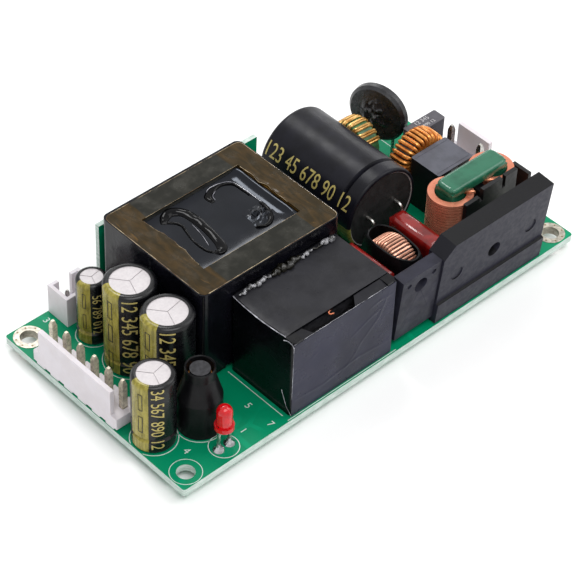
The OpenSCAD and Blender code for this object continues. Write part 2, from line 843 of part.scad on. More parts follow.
// rubber bung with two lead holes along x
module seal(d, pitch) {
    translate([0, 0, sleeve_t + sleeve_gap + fit])
        difference() {
            cylinder(r = seal_r(d) - sleeve_gap, h = seal_h - 2 * fit, $fn = fn_mid);
            for (s = [-1, 1])
                translate([s * pitch / 2, 0, -eps])
                    cylinder(d = wire_d + sleeve_gap, h = seal_h, $fn = fn_wire);
        }
}

module lead_up(h) {
    translate([0, 0, -lead_stick])
        cylinder(d = wire_d, h = lead_stick + h, $fn = fn_wire);
}

module on_board(p, a) {
    translate([p.x, p.y, seat])
        rotate([0, 0, a])
            children();
}

filter_xy = [filter_cap_x, filter_cap_y];
bias_xy = [bias_cap_x, bias_cap_y];

module output_capacitor_cans() {
    color([0.82, 0.82, 0.83])
        for (p = out_cap_xy)
            on_board(p, 0)
                can(out_cap_d, out_cap_h, crimp_depth);
}

module output_capacitor_sleeves() {
    color([0.1, 0.1, 0.09])
        for (p = out_cap_xy)
            on_board(p, 0)
                sleeve(out_cap_d, out_cap_h, crimp_depth);
}

module filter_capacitor_can() {
    color([0.82, 0.82, 0.83])
        on_board(filter_xy, 0)
            can(filter_cap_d, filter_cap_h, crimp_depth);
}

module filter_capacitor_sleeve() {
    color([0.1, 0.1, 0.09])
        on_board(filter_xy, 0)
            sleeve(filter_cap_d, filter_cap_h, crimp_depth);
}

module bias_capacitor_can() {
    color([0.82, 0.82, 0.83])
        on_board(bias_xy, 0)
            can(bias_cap_d, bias_cap_h, crimp_depth);
}

module bias_capacitor_sleeve() {
    color([0.1, 0.1, 0.09])
        on_board(bias_xy, 0)
            sleeve(bias_cap_d, bias_cap_h, crimp_depth);
}

// the bulk capacitor lies along y with its leads at the near end
bulk_groove = crimp_depth * 1.6;
module lying() {
    translate([bulk_x, bulk_y, bulk_z])
        rotate([-90, 0, 0])
            children();
}

module bulk_capacitor_can() {
    color([0.82, 0.82, 0.83])
        lying()
            can(bulk_d, bulk_l, bulk_groove);
}

module bulk_capacitor_sleeve() {
    color([0.1, 0.1, 0.11])
        lying()
            sleeve(bulk_d, bulk_l, bulk_groove);
}

module capacitor_seals() {
    color([0.08, 0.08, 0.08]) {
        for (p = out_cap_xy)
            on_board(p, 90)
                seal(out_cap_d, out_cap_pitch);
        on_board(filter_xy, 90)
            seal(filter_cap_d, filter_cap_pitch);
        on_board(bias_xy, 90)
            seal(bias_cap_d, bias_cap_pitch);
        lying()
            seal(bulk_d, bulk_pitch);
    }
}

module capacitor_leads() {
    up = seat + seal_h;
    run = bulk_lead_out - bulk_bend_r + seal_h;
    color([0.8, 0.8, 0.8]) {
        for (p = concat(out_cap_leads, filter_cap_leads, bias_cap_leads))
            translate([p.x, p.y, 0])
                lead_up(up);
        for (p = bulk_leads)
            translate([p.x, p.y, 0]) {
                lead_up(bulk_z - bulk_bend_r);
                translate([0, bulk_bend_r, bulk_z - bulk_bend_r])
                    rotate([90, 0, -90])
                        rotate_extrude(angle = 90, $fn = fn_mid)
                            translate([bulk_bend_r, 0])
                                circle(d = wire_d, $fn = fn_wire);
                translate([0, bulk_bend_r, bulk_z])
                    rotate([-90, 0, 0])
                        cylinder(d = wire_d, h = run, $fn = fn_wire);
            }
    }
}

// ---- rod choke: ferrite rod, tapered winding, shrink sleeve ----

rod_rows = 14;
rod_wind_z = 1;
rod_wind_h = rod_h - 3;

rod_bend = 0.6;

// outline radius of the winding at a share s of its height
function rod_wind_r(s) = let (
    foot = rod_foot_d / 2 - shrink_t - fit,
    neck = rod_top_d / 2 - shrink_t - fit
) foot + (neck - foot) * max(0, s - rod_bend) / (1 - rod_bend);

module rod_choke_core() {
    color([0.3, 0.3, 0.31])
        translate([rod_x, rod_y, seat])
            cylinder(d = rod_d, h = rod_h - 0.4, $fn = fn_mid);
}

module rod_choke_winding() {
    row = rod_wind_h / rod_rows;
    cut = row / 3;
    inner = rod_d / 2 + fit / 2;
    color([0.72, 0.42, 0.25]) {
        translate([rod_x, rod_y, seat + rod_wind_z])
            rotate_extrude($fn = fn_mid)
                polygon(concat(
                    [[inner, rod_wind_h], [inner, 0]],
                    [for (i = [0 : rod_rows - 1])
                        let (r = rod_wind_r((i + 1) / rod_rows), z = i * row)
                        each [[r - cut, z], [r, z + cut], [r, z + row - cut], [r - cut, z + row]]]
                ));
        for (p = rod_leads)
            translate([p.x, p.y, 0])
                lead_up(seat + rod_wind_z - fit);
    }
}

module rod_choke_sleeve() {
    foot = rod_foot_d / 2;
    neck = rod_top_d / 2;
    z1 = rod_wind_z + rod_wind_h * rod_bend;
    z2 = rod_wind_z + rod_wind_h;
    t = shrink_t;
    color([0.08, 0.08, 0.09])
        translate([rod_x, rod_y, seat])
            rotate_extrude($fn = fn_big)
                polygon([
                    [foot, 0], [foot, z1], [neck, z2], [neck, rod_h], [neck - t / 2, rod_h + t / 2],
                    [neck - t, rod_h], [neck - t, z2 + t / 4], [foot - t, z1 + t / 4], [foot - t, 0]
                ]);
}

// ---- status light ----

module status_light() {
    r = led_d / 2;
    flange = 0.9;
    z0 = top + led_lift;
    socket = 1.2;
    color([0.85, 0.05, 0.05])
        translate([led_x, led_y, z0])
            difference() {
                rotate_extrude($fn = fn_mid)
                    polygon(concat(
                        [[0, 0], [led_flange_d / 2, 0], [led_flange_d / 2, flange], [r, flange]],
                        [for (a = [0 : arc_step / 2 : 90]) [r * cos(a), led_l - r + r * sin(a)]]
                    ));
                for (s = [-1, 1])
                    translate([s * led_pitch / 2, 0, -eps])
                        block(led_lead_w + solder_clear, led_lead_w + solder_clear, socket);
            }
}

module status_light_leads() {
    socket = 1;
    color([0.8, 0.8, 0.8])
        for (p = led_leads)
            translate([p.x, p.y, -lead_stick])
                block(led_lead_w, led_lead_w, lead_stick + top + led_lift + socket);
}

// ---- main transformer ----

tx_core_z = top + tx_rail_h;
tx_core_top = top + tx_h - tape_t;
tx_core_h = tx_core_top - tx_core_z;
tx_win_l = tx_core_l - 2 * tx_yoke;
tx_win_w = tx_core_w - 2 * tx_leg;
tx_lip = 0.7;
tx_corner_r = 1.4;
tx_tube_t = 0.8;
tx_flange_t = 0.9;
tx_tube_r = tx_core_d / 2 + fit;
tx_wind_l = tx_win_l - 2 * (tx_flange_t + 2 * fit);
tx_wind_w = tx_win_w - 2 * fit;
tx_wind_h = tx_core_h - 2 * tx_sink;
tx_mid_z = tx_core_z + tx_core_h / 2;

// one half of the core opens towards -x
module core_half() {
    split = fit / 4;
    l = tx_core_l / 2 - split;
    difference() {
        translate([split, -tx_core_w / 2, tx_core_z])
            cube([l, tx_core_w, tx_core_h]);
        translate([-eps, -tx_win_w / 2, tx_core_z - eps])
            cube([tx_win_l / 2 + eps, tx_win_w, tx_core_h + 2 * eps]);
    }
    translate([fit, 0, tx_mid_z])
        rotate([0, 90, 0])
            cylinder(d = tx_core_d, h = tx_win_l / 2, $fn = fn_mid);
}

module transformer_core() {
    color([0.28, 0.28, 0.27])
        translate([tx_x, tx_y, 0]) {
            core_half();
            mirror([1, 0, 0])
                core_half();
        }
}

module transformer_bobbin() {
    flange_h = tx_wind_h + tx_sink;
    flange_x = tx_win_l / 2 - fit - tx_flange_t;
    rail_x = tx_core_l / 2 - tx_rail_w;
    socket_h = tx_rail_h * 0.7;
    tube_r = tx_tube_r + tx_tube_t;
    color([0.16, 0.15, 0.14])
        translate([tx_x, tx_y, 0])
            difference() {
                union() {
                    translate([-flange_x - tx_flange_t / 2, 0, tx_mid_z])
                        rotate([0, 90, 0])
                            cylinder(r = tube_r, h = 2 * flange_x + tx_flange_t, $fn = fn_mid);
                    for (m = [0, 1])
                        mirror([m, 0, 0]) {
                            translate([flange_x, -tx_win_w / 2 + fit, seat])
                                cube([tx_flange_t, tx_win_w - 2 * fit, tx_mid_z + flange_h / 2 - seat]);
                            translate([rail_x, -tx_core_w / 2, seat])
                                cube([tx_rail_w, tx_core_w, tx_rail_h - seat_gap - fit]);
                        }
                }
                translate([-tx_win_l, 0, tx_mid_z])
                    rotate([0, 90, 0])
                        cylinder(r = tx_tube_r, h = 2 * tx_win_l, $fn = fn_mid);
                for (p = tx_leads)
                    translate([p.x - tx_x, p.y - tx_y, 0])
                        cylinder(d = tx_pin_d + solder_clear, h = top + socket_h, $fn = fn_wire);
            }
}

module transformer_winding() {
    round_r = 2.6;
    color([0.07, 0.07, 0.08])
        translate([tx_x - tx_wind_l / 2, tx_y, tx_mid_z])
            rotate([90, 0, 90])
                difference() {
                    rounded_block(tx_wind_w, tx_wind_h, tx_wind_l, round_r);
                    translate([0, 0, -eps])
                        cylinder(r = tx_tube_r + tx_tube_t + fit, h = tx_wind_l + 2 * eps, $fn = fn_mid);
                }
}

// tape round the four sides, folded in over the top edge
module transformer_wrap() {
    in_r = tx_corner_r - tape_t;
    low = 1.2;
    h = tx_h - low;
    color([0.06, 0.06, 0.07])
        translate([tx_x, tx_y, top + low])
            difference() {
                rounded_block(tx_l, tx_w, h, tx_corner_r);
                translate([0, 0, -eps])
                    block(tx_core_l + fit, tx_core_w + fit, h - tape_t + 0.15 + eps);
                translate([0, 0, -eps])
                    rounded_block(tx_core_l - 2 * tx_lip, tx_core_w - 2 * tx_lip, h + 2 * eps, in_r);
            }
}

// amber strips over both ends of the core, folded down into the window
module transformer_core_tape() {
    t = fit * 0.6;
    fold = 2.2;
    edge = tx_core_l / 2 - tx_lip - fit;
    w = tx_core_w - 2 * (tx_lip + fit);
    yoke_x = tx_win_l / 2;
    fold_w = tx_win_w - 2 * fit;
    color([0.45, 0.3, 0.1])
        translate([tx_x, tx_y, 0])
            for (m = [0, 1])
                mirror([m, 0, 0]) {
                    difference() {
                        translate([tx_core_l / 2 - tx_amber_l, -w / 2, tx_core_top])
                            cube([edge - tx_core_l / 2 + tx_amber_l, w, t]);
                        translate([0, -tx_win_w / 2, tx_core_top - eps])
                            cube([yoke_x - t, tx_win_w, t + 2 * eps]);
                    }
                    translate([yoke_x - t, -fold_w / 2, tx_core_top - fold])
                        cube([t, fold_w, fold + t / 2]);
                }
}

module transformer_pins() {
    socket_h = tx_rail_h * 0.6;
    color([0.8, 0.78, 0.74])
        for (p = tx_leads)
            translate([p.x, p.y, -lead_stick])
                cylinder(d = tx_pin_d, h = lead_stick + top + socket_h, $fn = fn_wire);
}

// ---- boost choke: upright core in a tape box ----

bc_core_z = top + bc_foot_h;
bc_core_top = top + bc_h - tape_t - fit;
bc_core_h = bc_core_top - bc_core_z;
bc_win_l = bc_core_l - 2 * bc_leg;
bc_win_h = bc_core_h - 2 * bc_yoke;
bc_mid_z = bc_core_z + bc_core_h / 2;
bc_flange_t = 0.8;
bc_tube_r = bc_mid_d / 2 + fit;
bc_wind_h = bc_win_h - 2 * (bc_flange_t + 2 * fit);
bc_wind_r = min(bc_foot_w, bc_win_l) / 2 - 2 * fit;

// one half of the core opens downwards
module boost_half() {
    split = fit / 4;
    translate([0, 0, bc_mid_z]) {
        difference() {
            translate([0, 0, split])
                block(bc_core_l, bc_core_w, bc_core_h / 2 - split);
            translate([0, 0, -eps])
                block(bc_win_l, bc_core_w + 2 * eps, bc_win_h / 2 + eps);
        }
        translate([0, 0, fit])
            cylinder(d = bc_mid_d, h = bc_win_h / 2, $fn = fn_mid);
    }
}

module boost_choke_core() {
    color([0.25, 0.25, 0.25])
        translate([bc_x, bc_y, 0]) {
            boost_half();
            translate([0, 0, 2 * bc_mid_z])
                mirror([0, 0, 1])
                    boost_half();
        }
}

module boost_choke_bobbin() {
    flange_l = bc_win_l - 2 * fit;
    web_w = (bc_foot_w - bc_core_w) / 2 - fit;
    win_z = bc_mid_z - bc_win_h / 2;
    foot_h = bc_foot_h - seat_gap - fit;
    socket_h = bc_foot_h * 0.8;
    color([0.16, 0.15, 0.14])
        translate([bc_x, bc_y, 0])
            difference() {
                union() {
                    translate([0, 0, seat])
                        block(bc_core_l, bc_foot_w, foot_h);
                    for (s = [-1, 1])
                        translate([0, s * (bc_foot_w - web_w) / 2, seat])
                            block(flange_l, web_w, win_z + fit + bc_flange_t - seat);
                    translate([0, 0, win_z + fit])
                        block(flange_l, bc_foot_w, bc_flange_t);
                    translate([0, 0, win_z + bc_win_h - fit - bc_flange_t])
                        block(flange_l, bc_foot_w, bc_flange_t);
                    translate([0, 0, win_z + fit])
                        cylinder(r = bc_tube_r + tx_tube_t, h = bc_win_h - 2 * fit, $fn = fn_mid);
                }
                translate([0, 0, win_z])
                    cylinder(r = bc_tube_r, h = bc_win_h, $fn = fn_mid);
                for (p = bc_leads)
                    translate([p.x - bc_x, p.y - bc_y, 0])
                        cylinder(d = tx_pin_d + solder_clear, h = top + socket_h, $fn = fn_wire);
            }
}

module boost_choke_winding() {
    rows = 14;
    row = bc_wind_h / rows;
    cut = row / 4;
    inner = bc_tube_r + tx_tube_t + fit;
    color([0.8, 0.48, 0.3])
        translate([bc_x, bc_y, bc_mid_z - bc_wind_h / 2])
            rotate_extrude($fn = fn_big)
                polygon(concat(
                    [[inner, bc_wind_h], [inner, 0]],
                    [for (i = [0 : rows - 1])
                        let (z = i * row)
                        each [
                            [bc_wind_r - cut, z], [bc_wind_r, z + cut],
                            [bc_wind_r, z + row - cut], [bc_wind_r - cut, z + row]
                        ]]
                ));
}

module boost_choke_wrap() {
    corner = 1;
    fold_l = 2.2;
    color([0.1, 0.1, 0.11])
        translate([bc_x, bc_y, top])
            difference() {
                translate([0, 0, seat_gap])
                    rounded_block(bc_l, bc_w, bc_h - seat_gap, corner);
                block(bc_core_l + fit, bc_foot_w + fit, bc_h - tape_t);
                translate([-bc_l / 2 + fold_l, -bc_w / 2 - eps, bc_h - bc_slit])
                    cube([bc_l - 2 * fold_l, bc_back + eps, bc_slit + eps]);
            }
}

module boost_choke_pins() {
    socket_h = bc_foot_h * 0.7;
    color([0.8, 0.78, 0.74])
        for (p = bc_leads)
            translate([p.x, p.y, -lead_stick])
                cylinder(d = tx_pin_d, h = lead_stick + top + socket_h, $fn = fn_wire);
}

// clear glue along the joint between the choke's top and the transformer
module glue_bead() {
    wall_y = tx_y - tx_w / 2 - fit;
    floor_z = top + bc_h + fit;
    run = bc_l * 0.84;
    blobs = 9;
    mid_y = wall_y - glue_r * 0.6;
    color([0.75, 0.76, 0.78])
        difference() {
            union() {
                translate([bc_x - run / 2, mid_y, floor_z])
                    rotate([0, 90, 0])
                        cylinder(r = glue_r * 0.7, h = run, $fn = fn_mid);
                for (i = [0 : blobs - 1])
                    translate([bc_x + (i / (blobs - 1) - 0.5) * run, mid_y, floor_z])
                        sphere(r = glue_r * (1.05 + 0.3 * sin(i * 140)), $fn = fn_mid);
            }
            translate([bc_x - bc_l, wall_y, 0])
                cube([2 * bc_l, 2 * glue_r, 2 * floor_z]);
            translate([bc_x - bc_l, wall_y - thru, floor_z - thru])
                cube([2 * bc_l, thru + 2 * glue_r, thru]);
        }
}

// ---- power transistor and bridge rectifier ----

module upright_leads(points, h) {
    for (p = points)
        translate([p.x, p.y, -lead_stick])
            block(flat_w, flat_t, lead_stick + h);
}

flat_grow = 0.06;
module lead_slots(points, h) {
    for (p = points)
        translate([p.x, p.y, -lead_stick])
            block(flat_w + flat_grow, flat_t + flat_grow, lead_stick + h + flat_grow);
}

lead_grip = 1.2;
tr_lead_h = top + tr_lift + lead_grip;
br_lead_h = top + seat_gap + lead_grip;

module power_transistor() {
    step_z = tr_h * 0.62;
    hole_z = tr_h - 3.3;
    mark_d = 1.1;
    mark_in = 1.8;
    deep = 0.3;
    bevel = 0.3;
    color([0.13, 0.13, 0.15])
        difference() {
            translate([tr_x, tr_y, top + tr_lift])
                rotate([tr_lean, 0, 0])
                    difference() {
                        rotate([90, 0, 90])
                            linear_extrude(tr_w)
                                polygon([
                                    [0, 0], [tr_t, 0], [tr_t, step_z], [tr_top_t, step_z + tr_t - tr_top_t],
                                    [tr_top_t, tr_h - bevel], [tr_top_t - bevel, tr_h], [0, tr_h]
                                ]);
                        translate([tr_w / 2, -eps, hole_z])
                            rotate([-90, 0, 0])
                                cylinder(d = tr_hole_d, h = tr_t + 2 * eps, $fn = fn_mid);
                        for (s = [-1, 1])
                            translate([tr_w / 2 + s * (tr_w / 2 - mark_in), -eps, tr_h - mark_in])
                                rotate([-90, 0, 0])
                                    cylinder(d = mark_d, h = deep, $fn = fn_wire);
                    }
            lead_slots(tr_leads, tr_lead_h);
        }
}

module power_transistor_leads() {
    color([0.75, 0.75, 0.76])
        upright_leads(tr_leads, tr_lead_h);
}

module bridge_rectifier() {
    mark_d = 3;
    deep = 0.25;
    toe = br_t - br_top_t;
    color([0.16, 0.16, 0.18])
        difference() {
            translate([br_x, br_y, seat])
                rotate([br_lean, 0, 0])
                    difference() {
                        rotate([90, 0, 90])
                            linear_extrude(br_w)
                                polygon([
                                    [0, 0], [br_t, 0], [br_t, br_h],
                                    [toe, br_h], [toe, br_foot_h], [0, br_foot_h - toe / 4]
                                ]);
                        translate([0, -br_t, br_h - br_chamfer])
                            rotate([0, -45, 0])
                                cube([br_t, 3 * br_t, 2 * br_chamfer]);
                        translate([br_w / 2, -eps, br_hole_z])
                            rotate([-90, 0, 0])
                                cylinder(d = br_hole_d, h = br_t + 2 * eps, $fn = fn_mid);
                        for (s = [-1, 1])
                            translate([br_w / 2 + s * br_mark_x, toe - eps, br_hole_z])
                                rotate([-90, 0, 0])
                                    cylinder(d = mark_d, h = deep, $fn = fn_mid);
                    }
            lead_slots(br_leads, br_lead_h);
        }
}

module bridge_rectifier_leads() {
    color([0.75, 0.75, 0.76])
        upright_leads(br_leads, br_lead_h);
}

// ---- line choke: coated core, two coils of flat wire, plastic floor ----

lc_core_z = seat + lc_floor + fit;
lc_core_h = top + lc_h - lc_core_z;
lc_coil_z = lc_core_z + lc_yoke + fit;
lc_coil_h = lc_core_h - 2 * (lc_yoke + fit);

// end bar of the core, its upper or lower edge bevelled
module core_bar(flip) {
    round_r = 0.9;
    mirror([0, 0, flip])
        intersection() {
            rounded_block(lc_l, lc_w, lc_yoke, round_r);
            rotate([90, 0, 0])
                bar_profile(lc_l, lc_w);
            rotate([90, 0, 90])
                bar_profile(lc_w, lc_l);
        }
}

module bar_profile(w, run) {
    bevel = 0.45;
    side = w / 2;
    linear_extrude(run, center = true)
        polygon([
            [-side, 0], [side, 0], [side, lc_yoke - bevel],
            [side - bevel, lc_yoke], [bevel - side, lc_yoke], [-side, lc_yoke - bevel]
        ]);
}

module line_choke_core() {
    color([0.1, 0.38, 0.27])
        translate([lc_x, lc_y, lc_core_z]) {
            translate([0, 0, lc_yoke])
                core_bar(1);
            translate([0, 0, lc_core_h - lc_yoke])
                core_bar(0);
            for (s = [-1, 1])
                translate([s * lc_pitch / 2, 0, lc_yoke / 2])
                    block(lc_leg, lc_w, lc_core_h - lc_yoke);
        }
}

module line_choke_coils() {
    turn_h = lc_coil_h / lc_turns;
    slit = turn_h / 4;
    r0 = lc_coil_in / 2;
    r1 = lc_coil_d / 2;
    web = (r1 - r0) / 2;
    last = (lc_turns - 1) * turn_h;
    color([0.85, 0.5, 0.35]) {
        for (x = lc_coil_x)
            translate([x, lc_y, lc_coil_z])
                rotate_extrude($fn = fn_big)
                    polygon(concat(
                        [[r0, 0]],
                        [for (i = [0 : lc_turns - 2])
                            let (z = i * turn_h)
                            each [
                                [r1, z], [r1, z + turn_h - slit],
                                [r1 - web, z + turn_h - slit], [r1 - web, z + turn_h]
                            ]],
                        [[r1, last], [r1, last + turn_h - slit], [r0, last + turn_h - slit]]
                    ));
        for (p = lc_leads)
            translate([p.x, p.y, 0])
                lead_up(lc_coil_z - fit);
    }
}

// floor, notched wall in front of the coils, divider between them and end plate
module line_choke_base() {
    rim = 0.5;
    wall_t = 0.9;
    l = lc_pitch + lc_coil_d + 2 * rim;
    back_y = lc_coil_d / 2 + fit;
    wall_y = -back_y - wall_t;
    wall_l = lc_pitch + 2.7;
    low_h = lc_h - 1.7;
    notch = 1.1;
    end_h = lc_h - 3.6;
    end_w = lc_coil_d / 2;
    gap_w = lc_pitch - lc_coil_d - 2 * fit;
    room = lc_yoke + 2 * fit;
    color([0.09, 0.09, 0.09])
        translate([lc_x, lc_y, seat])
            difference() {
                union() {
                    translate([-l / 2, wall_y, 0])
                        cube([l, back_y - wall_y, lc_floor]);
                    translate([-wall_l / 2, wall_y, 0])
                        cube([wall_l, wall_t, low_h - notch]);
                    translate([-wall_l / 2, wall_y, 0])
                        cube([wall_l * 0.27, wall_t, low_h]);
                    translate([-wall_l * 0.18, wall_y, 0])
                        cube([wall_l * 0.38, wall_t, lc_h - 2 * fit]);
                    translate([wall_l * 0.26, wall_y, 0])
                        cube([wall_l * 0.24, wall_t, lc_h - 2 * fit]);
                    translate([-gap_w / 2, wall_y, 0])
                        cube([gap_w, back_y - wall_y, low_h - notch]);
                    translate([l / 2 - fit, wall_y, 0])
                        cube([wall_t, end_w, end_h]);
                }
                for (p = lc_leads)
                    translate([p.x - lc_x, p.y - lc_y, -eps])
                        cylinder(d = wire_d + hole_clear, h = lc_floor + 2 * eps, $fn = fn_wire);
                for (z = [lc_core_z - fit, lc_core_z + lc_core_h - lc_yoke - fit])
                    translate([0, 0, z - seat])
                        block(lc_l + 2 * fit, lc_w + 2 * fit, room);
            }
}

// ---- box, film and disc parts on plain leads ----

module boxed(l, w, h) {
    edge = 0.4;
    foot = 0.4;
    socket = 0.8;
    difference() {
        rounded_block(l, w, h, edge);
        translate([0, 0, -eps])
            block(l - 3, w + 2 * eps, foot);
        for (s = [-1, 1])
            translate([s * box_pitch / 2, 0, -eps])
                cylinder(d = wire_d + solder_clear, h = foot + socket, $fn = fn_wire);
    }
}

module x_capacitor() {
    color([0.3, 0.3, 0.32])
        translate([xc_x, xc_y, seat])
            boxed(xc_l, xc_w, xc_h);
}

module box_capacitor() {
    color([0.1, 0.1, 0.11])
        translate([yc_x, yc_y, seat])
            boxed(yc_l, yc_w, yc_h);
}

film_lift = 0.8;
// dipped body, long side along y, round in both sections
module dipped() {
    difference() {
        intersection() {
            translate([0, fc_l / 2, fc_h / 2])
                rotate([90, 0, 0])
                    rounded_block(fc_t, fc_h, fc_l, fc_r);
            translate([-fc_t / 2, 0, fc_h / 2])
                rotate([90, 0, 90])
                    rounded_block(fc_l, fc_h, fc_t, fc_r * 1.2);
            rounded_block(fc_t, fc_l, fc_h, fc_r);
        }
        for (s = [-1, 1])
            translate([0, s * fc_pitch / 2, -eps])
                cylinder(d = wire_d + solder_clear, h = 1.2, $fn = fn_wire);
    }
}

module film_capacitors() {
    color([0.55, 0.1, 0.08])
        for (p = [[fa_x, fa_y], [fb_x, fb_y]])
            translate([p.x, p.y, top + film_lift])
                dipped();
}

module thermistor_disc() {
    round_r = 0.6;
    r = th_d / 2;
    color([0.08, 0.08, 0.09])
        difference() {
            translate([th_x, th_y, top + th_lift + r])
                rotate([0, 90, th_turn])
                    rotate_extrude($fn = fn_big)
                        polygon([
                            [0, -th_t / 2], [r - round_r, -th_t / 2], [r, -th_t / 2 + round_r],
                            [r, th_t / 2 - round_r], [r - round_r, th_t / 2], [0, th_t / 2]
                        ]);
            for (p = th_leads)
                translate([p.x, p.y, 0])
                    cylinder(d = wire_d + solder_clear, h = top + th_lift + r * 0.6, $fn = fn_wire);
        }
}

module component_leads() {
    foot = 0.4;
    up = 0.6;
    color([0.8, 0.8, 0.8]) {
        for (p = concat(xc_leads, yc_leads))
            translate([p.x, p.y, 0])
                lead_up(seat + foot + up);
        for (p = fc_leads)
            translate([p.x, p.y, 0])
                lead_up(top + film_lift + up * 1.5);
        for (p = th_leads)
            translate([p.x, p.y, 0])
                lead_up(top + th_lift + th_d * 0.28);
    }
}

// ---- ring chokes ----

ring_seat = 0.5;
rc_z = top + ring_seat + ring_r(rc_d, rc_wire);
mc_z = top + ring_seat + ring_r(mc_d, mc_wire);
sc_z = top + ring_seat + ring_r(sc_d, sc_wire);
// angles at which the windings start and end
rc_from = -60;
rc_to = 240;
sc_from = 25;
sc_to = 335;

module drop_lead(p, d, h) {
    translate([p.x, p.y, -lead_stick])
        cylinder(d = d, h = lead_stick + h, $fn = fn_wire);
}

module ring_choke_core() {
    color([0.2, 0.2, 0.2])
        translate([rc_x, rc_y, rc_z])
            rotate([90, 0, 0])
                ring_core(rc_d, rc_in, rc_t);
}

module ring_choke_winding() {
    color([0.8, 0.5, 0.2]) {
        translate([rc_x, rc_y, rc_z])
            rotate([90, 0, 0])
                ring_turns(rc_d, rc_in, rc_t, rc_wire, rc_turns, rc_from, rc_to);
        for (p = rc_leads)
            drop_lead(p, rc_wire, top + ring_seat);
    }
}

module mains_ring_core() {
    color([0.2, 0.45, 0.25])
        translate([mc_x, mc_y, mc_z])
            rotate([0, 90, 0])
                ring_core(mc_d, mc_in, mc_t);
}

module mains_ring_winding() {
    arc = 130;
    color([0.75, 0.6, 0.3]) {
        translate([mc_x, mc_y, mc_z])
            rotate([0, 90, 0])
                for (m = [90, 270])
                    ring_turns(mc_d, mc_in, mc_t, mc_wire, mc_turns, m - arc / 2, m + arc / 2);
        for (p = mc_leads)
            drop_lead(p, mc_wire, top + ring_seat);
    }
}

module sleeved_choke_core() {
    color([0.2, 0.2, 0.2])
        translate([sc_x, sc_y, sc_z])
            rotate([0, 90, 0])
                ring_core(sc_d, sc_in, sc_t);
}

module sleeved_choke_winding() {
    color([0.85, 0.5, 0.35]) {
        translate([sc_x, sc_y, sc_z])
            rotate([0, 90, 0])
                ring_turns(sc_d, sc_in, sc_t, sc_wire, sc_turns, sc_from, sc_to);
        for (p = sc_leads)
            drop_lead(p, sc_wire, top + ring_seat);
    }
}

// shrink tube standing round the choke, open at the top
module sleeved_choke_sleeve() {
    l = sc_sleeve_l + 2 * shrink_t;
    w = sc_sleeve_w + 2 * shrink_t;
    color([0.06, 0.06, 0.07])
        translate([sc_x, sc_y, seat])
            difference() {
                rounded_block(w, l, sc_sleeve_h, sc_sleeve_r + shrink_t);
                translate([0, 0, -eps])
                    rounded_block(sc_sleeve_w, sc_sleeve_l, sc_sleeve_h + 2 * eps, sc_sleeve_r);
            }
}

// ---- daughter board on edge beyond the transformer ----

db_seat = 0.6;

module daughter_board() {
    color([0.05, 0.42, 0.28])
        translate([db_x, db_y, top + db_seat])
            cube([db_l, db_t, db_h]);
}

db_pin_up = 2.4;
module daughter_board_pins() {
    out = db_t / 2 + fit / 2;
    color([0.8, 0.78, 0.74])
        for (p = db_leads) {
            translate([p.x, p.y, -lead_stick])
                block(db_pin_w, db_pin_w, lead_stick + top + db_seat - fit);
            translate([p.x, p.y + out + db_pin_w / 2, top])
                block(db_pin_w, db_pin_w, db_seat + db_pin_up);
            translate([p.x, p.y + (out + db_pin_w) / 2, top])
                block(db_pin_w, out + db_pin_w, db_seat - fit);
        }
}

// three groups, each a chip and a row of four small parts above it
module daughter_board_parts() {
    groups = 3;
    step = db_l / (groups + 0.6);
    ic_z = top + db_seat + db_h * 0.38;
    row_up = db_h * 0.35;
    small_step = chip.x * 1.3;
    color([0.12, 0.12, 0.13])
        for (i = [0 : groups - 1])
            translate([db_x + db_l / 2 + (i - (groups - 1) / 2) * step, db_y + db_t, ic_z])
                rotate([-90, 0, 0]) {
                    small_outline();
                    for (j = [-1.5 : 1 : 1.5])
                        translate([j * small_step, -row_up, 0])
                            block(chip.x, chip.y, chip.z);
                }
}

// moves the layout, which is measured from the board's corner, to the middle of the board
module placed() {
    translate([-board_l / 2, board_w / 2, 0])
        children();
}

// ---- what is drawn ----

placed() pcb();
placed() mounting_pads();
placed() solder_joints();
placed() smd_parts();
placed() output_header();
placed() output_header_pins();
placed() aux_header();
placed() aux_header_pins();
placed() mains_header();
placed() mains_header_pins();
placed() output_capacitor_cans();
placed() output_capacitor_sleeves();
placed() filter_capacitor_can();
placed() filter_capacitor_sleeve();
placed() bias_capacitor_can();
placed() bias_capacitor_sleeve();
placed() bulk_capacitor_can();
placed() bulk_capacitor_sleeve();
placed() capacitor_seals();
placed() capacitor_leads();
placed() rod_choke_core();
placed() rod_choke_winding();
placed() rod_choke_sleeve();
placed() status_light();
placed() status_light_leads();
placed() transformer_core();
placed() transformer_bobbin();
placed() transformer_winding();
placed() transformer_wrap();
placed() transformer_core_tape();
placed() transformer_pins();
placed() boost_choke_core();
placed() boost_choke_bobbin();
placed() boost_choke_winding();
placed() boost_choke_wrap();
placed() boost_choke_pins();
placed() glue_bead();
placed() power_transistor();
placed() power_transistor_leads();
placed() bridge_rectifier();
placed() bridge_rectifier_leads();
placed() line_choke_core();
placed() line_choke_coils();
placed() line_choke_base();
placed() x_capacitor();
placed() box_capacitor();
placed() film_capacitors();
placed() component_leads();
placed() ring_choke_core();
placed() ring_choke_winding();
placed() mains_ring_core();
placed() mains_ring_winding();
placed() sleeved_choke_core();
placed() sleeved_choke_winding();
placed() sleeved_choke_sleeve();
placed() thermistor_disc();
placed() daughter_board();
placed() daughter_board_pins();
placed() daughter_board_parts();
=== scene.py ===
"""Looks of an open frame power supply.

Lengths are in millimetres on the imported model's axes, and MM turns them into metres."""

from math import acos, copysign, cos, degrees, exp, pi, radians, sin

import bmesh
import bpy
from mathutils import Matrix, Vector, noise

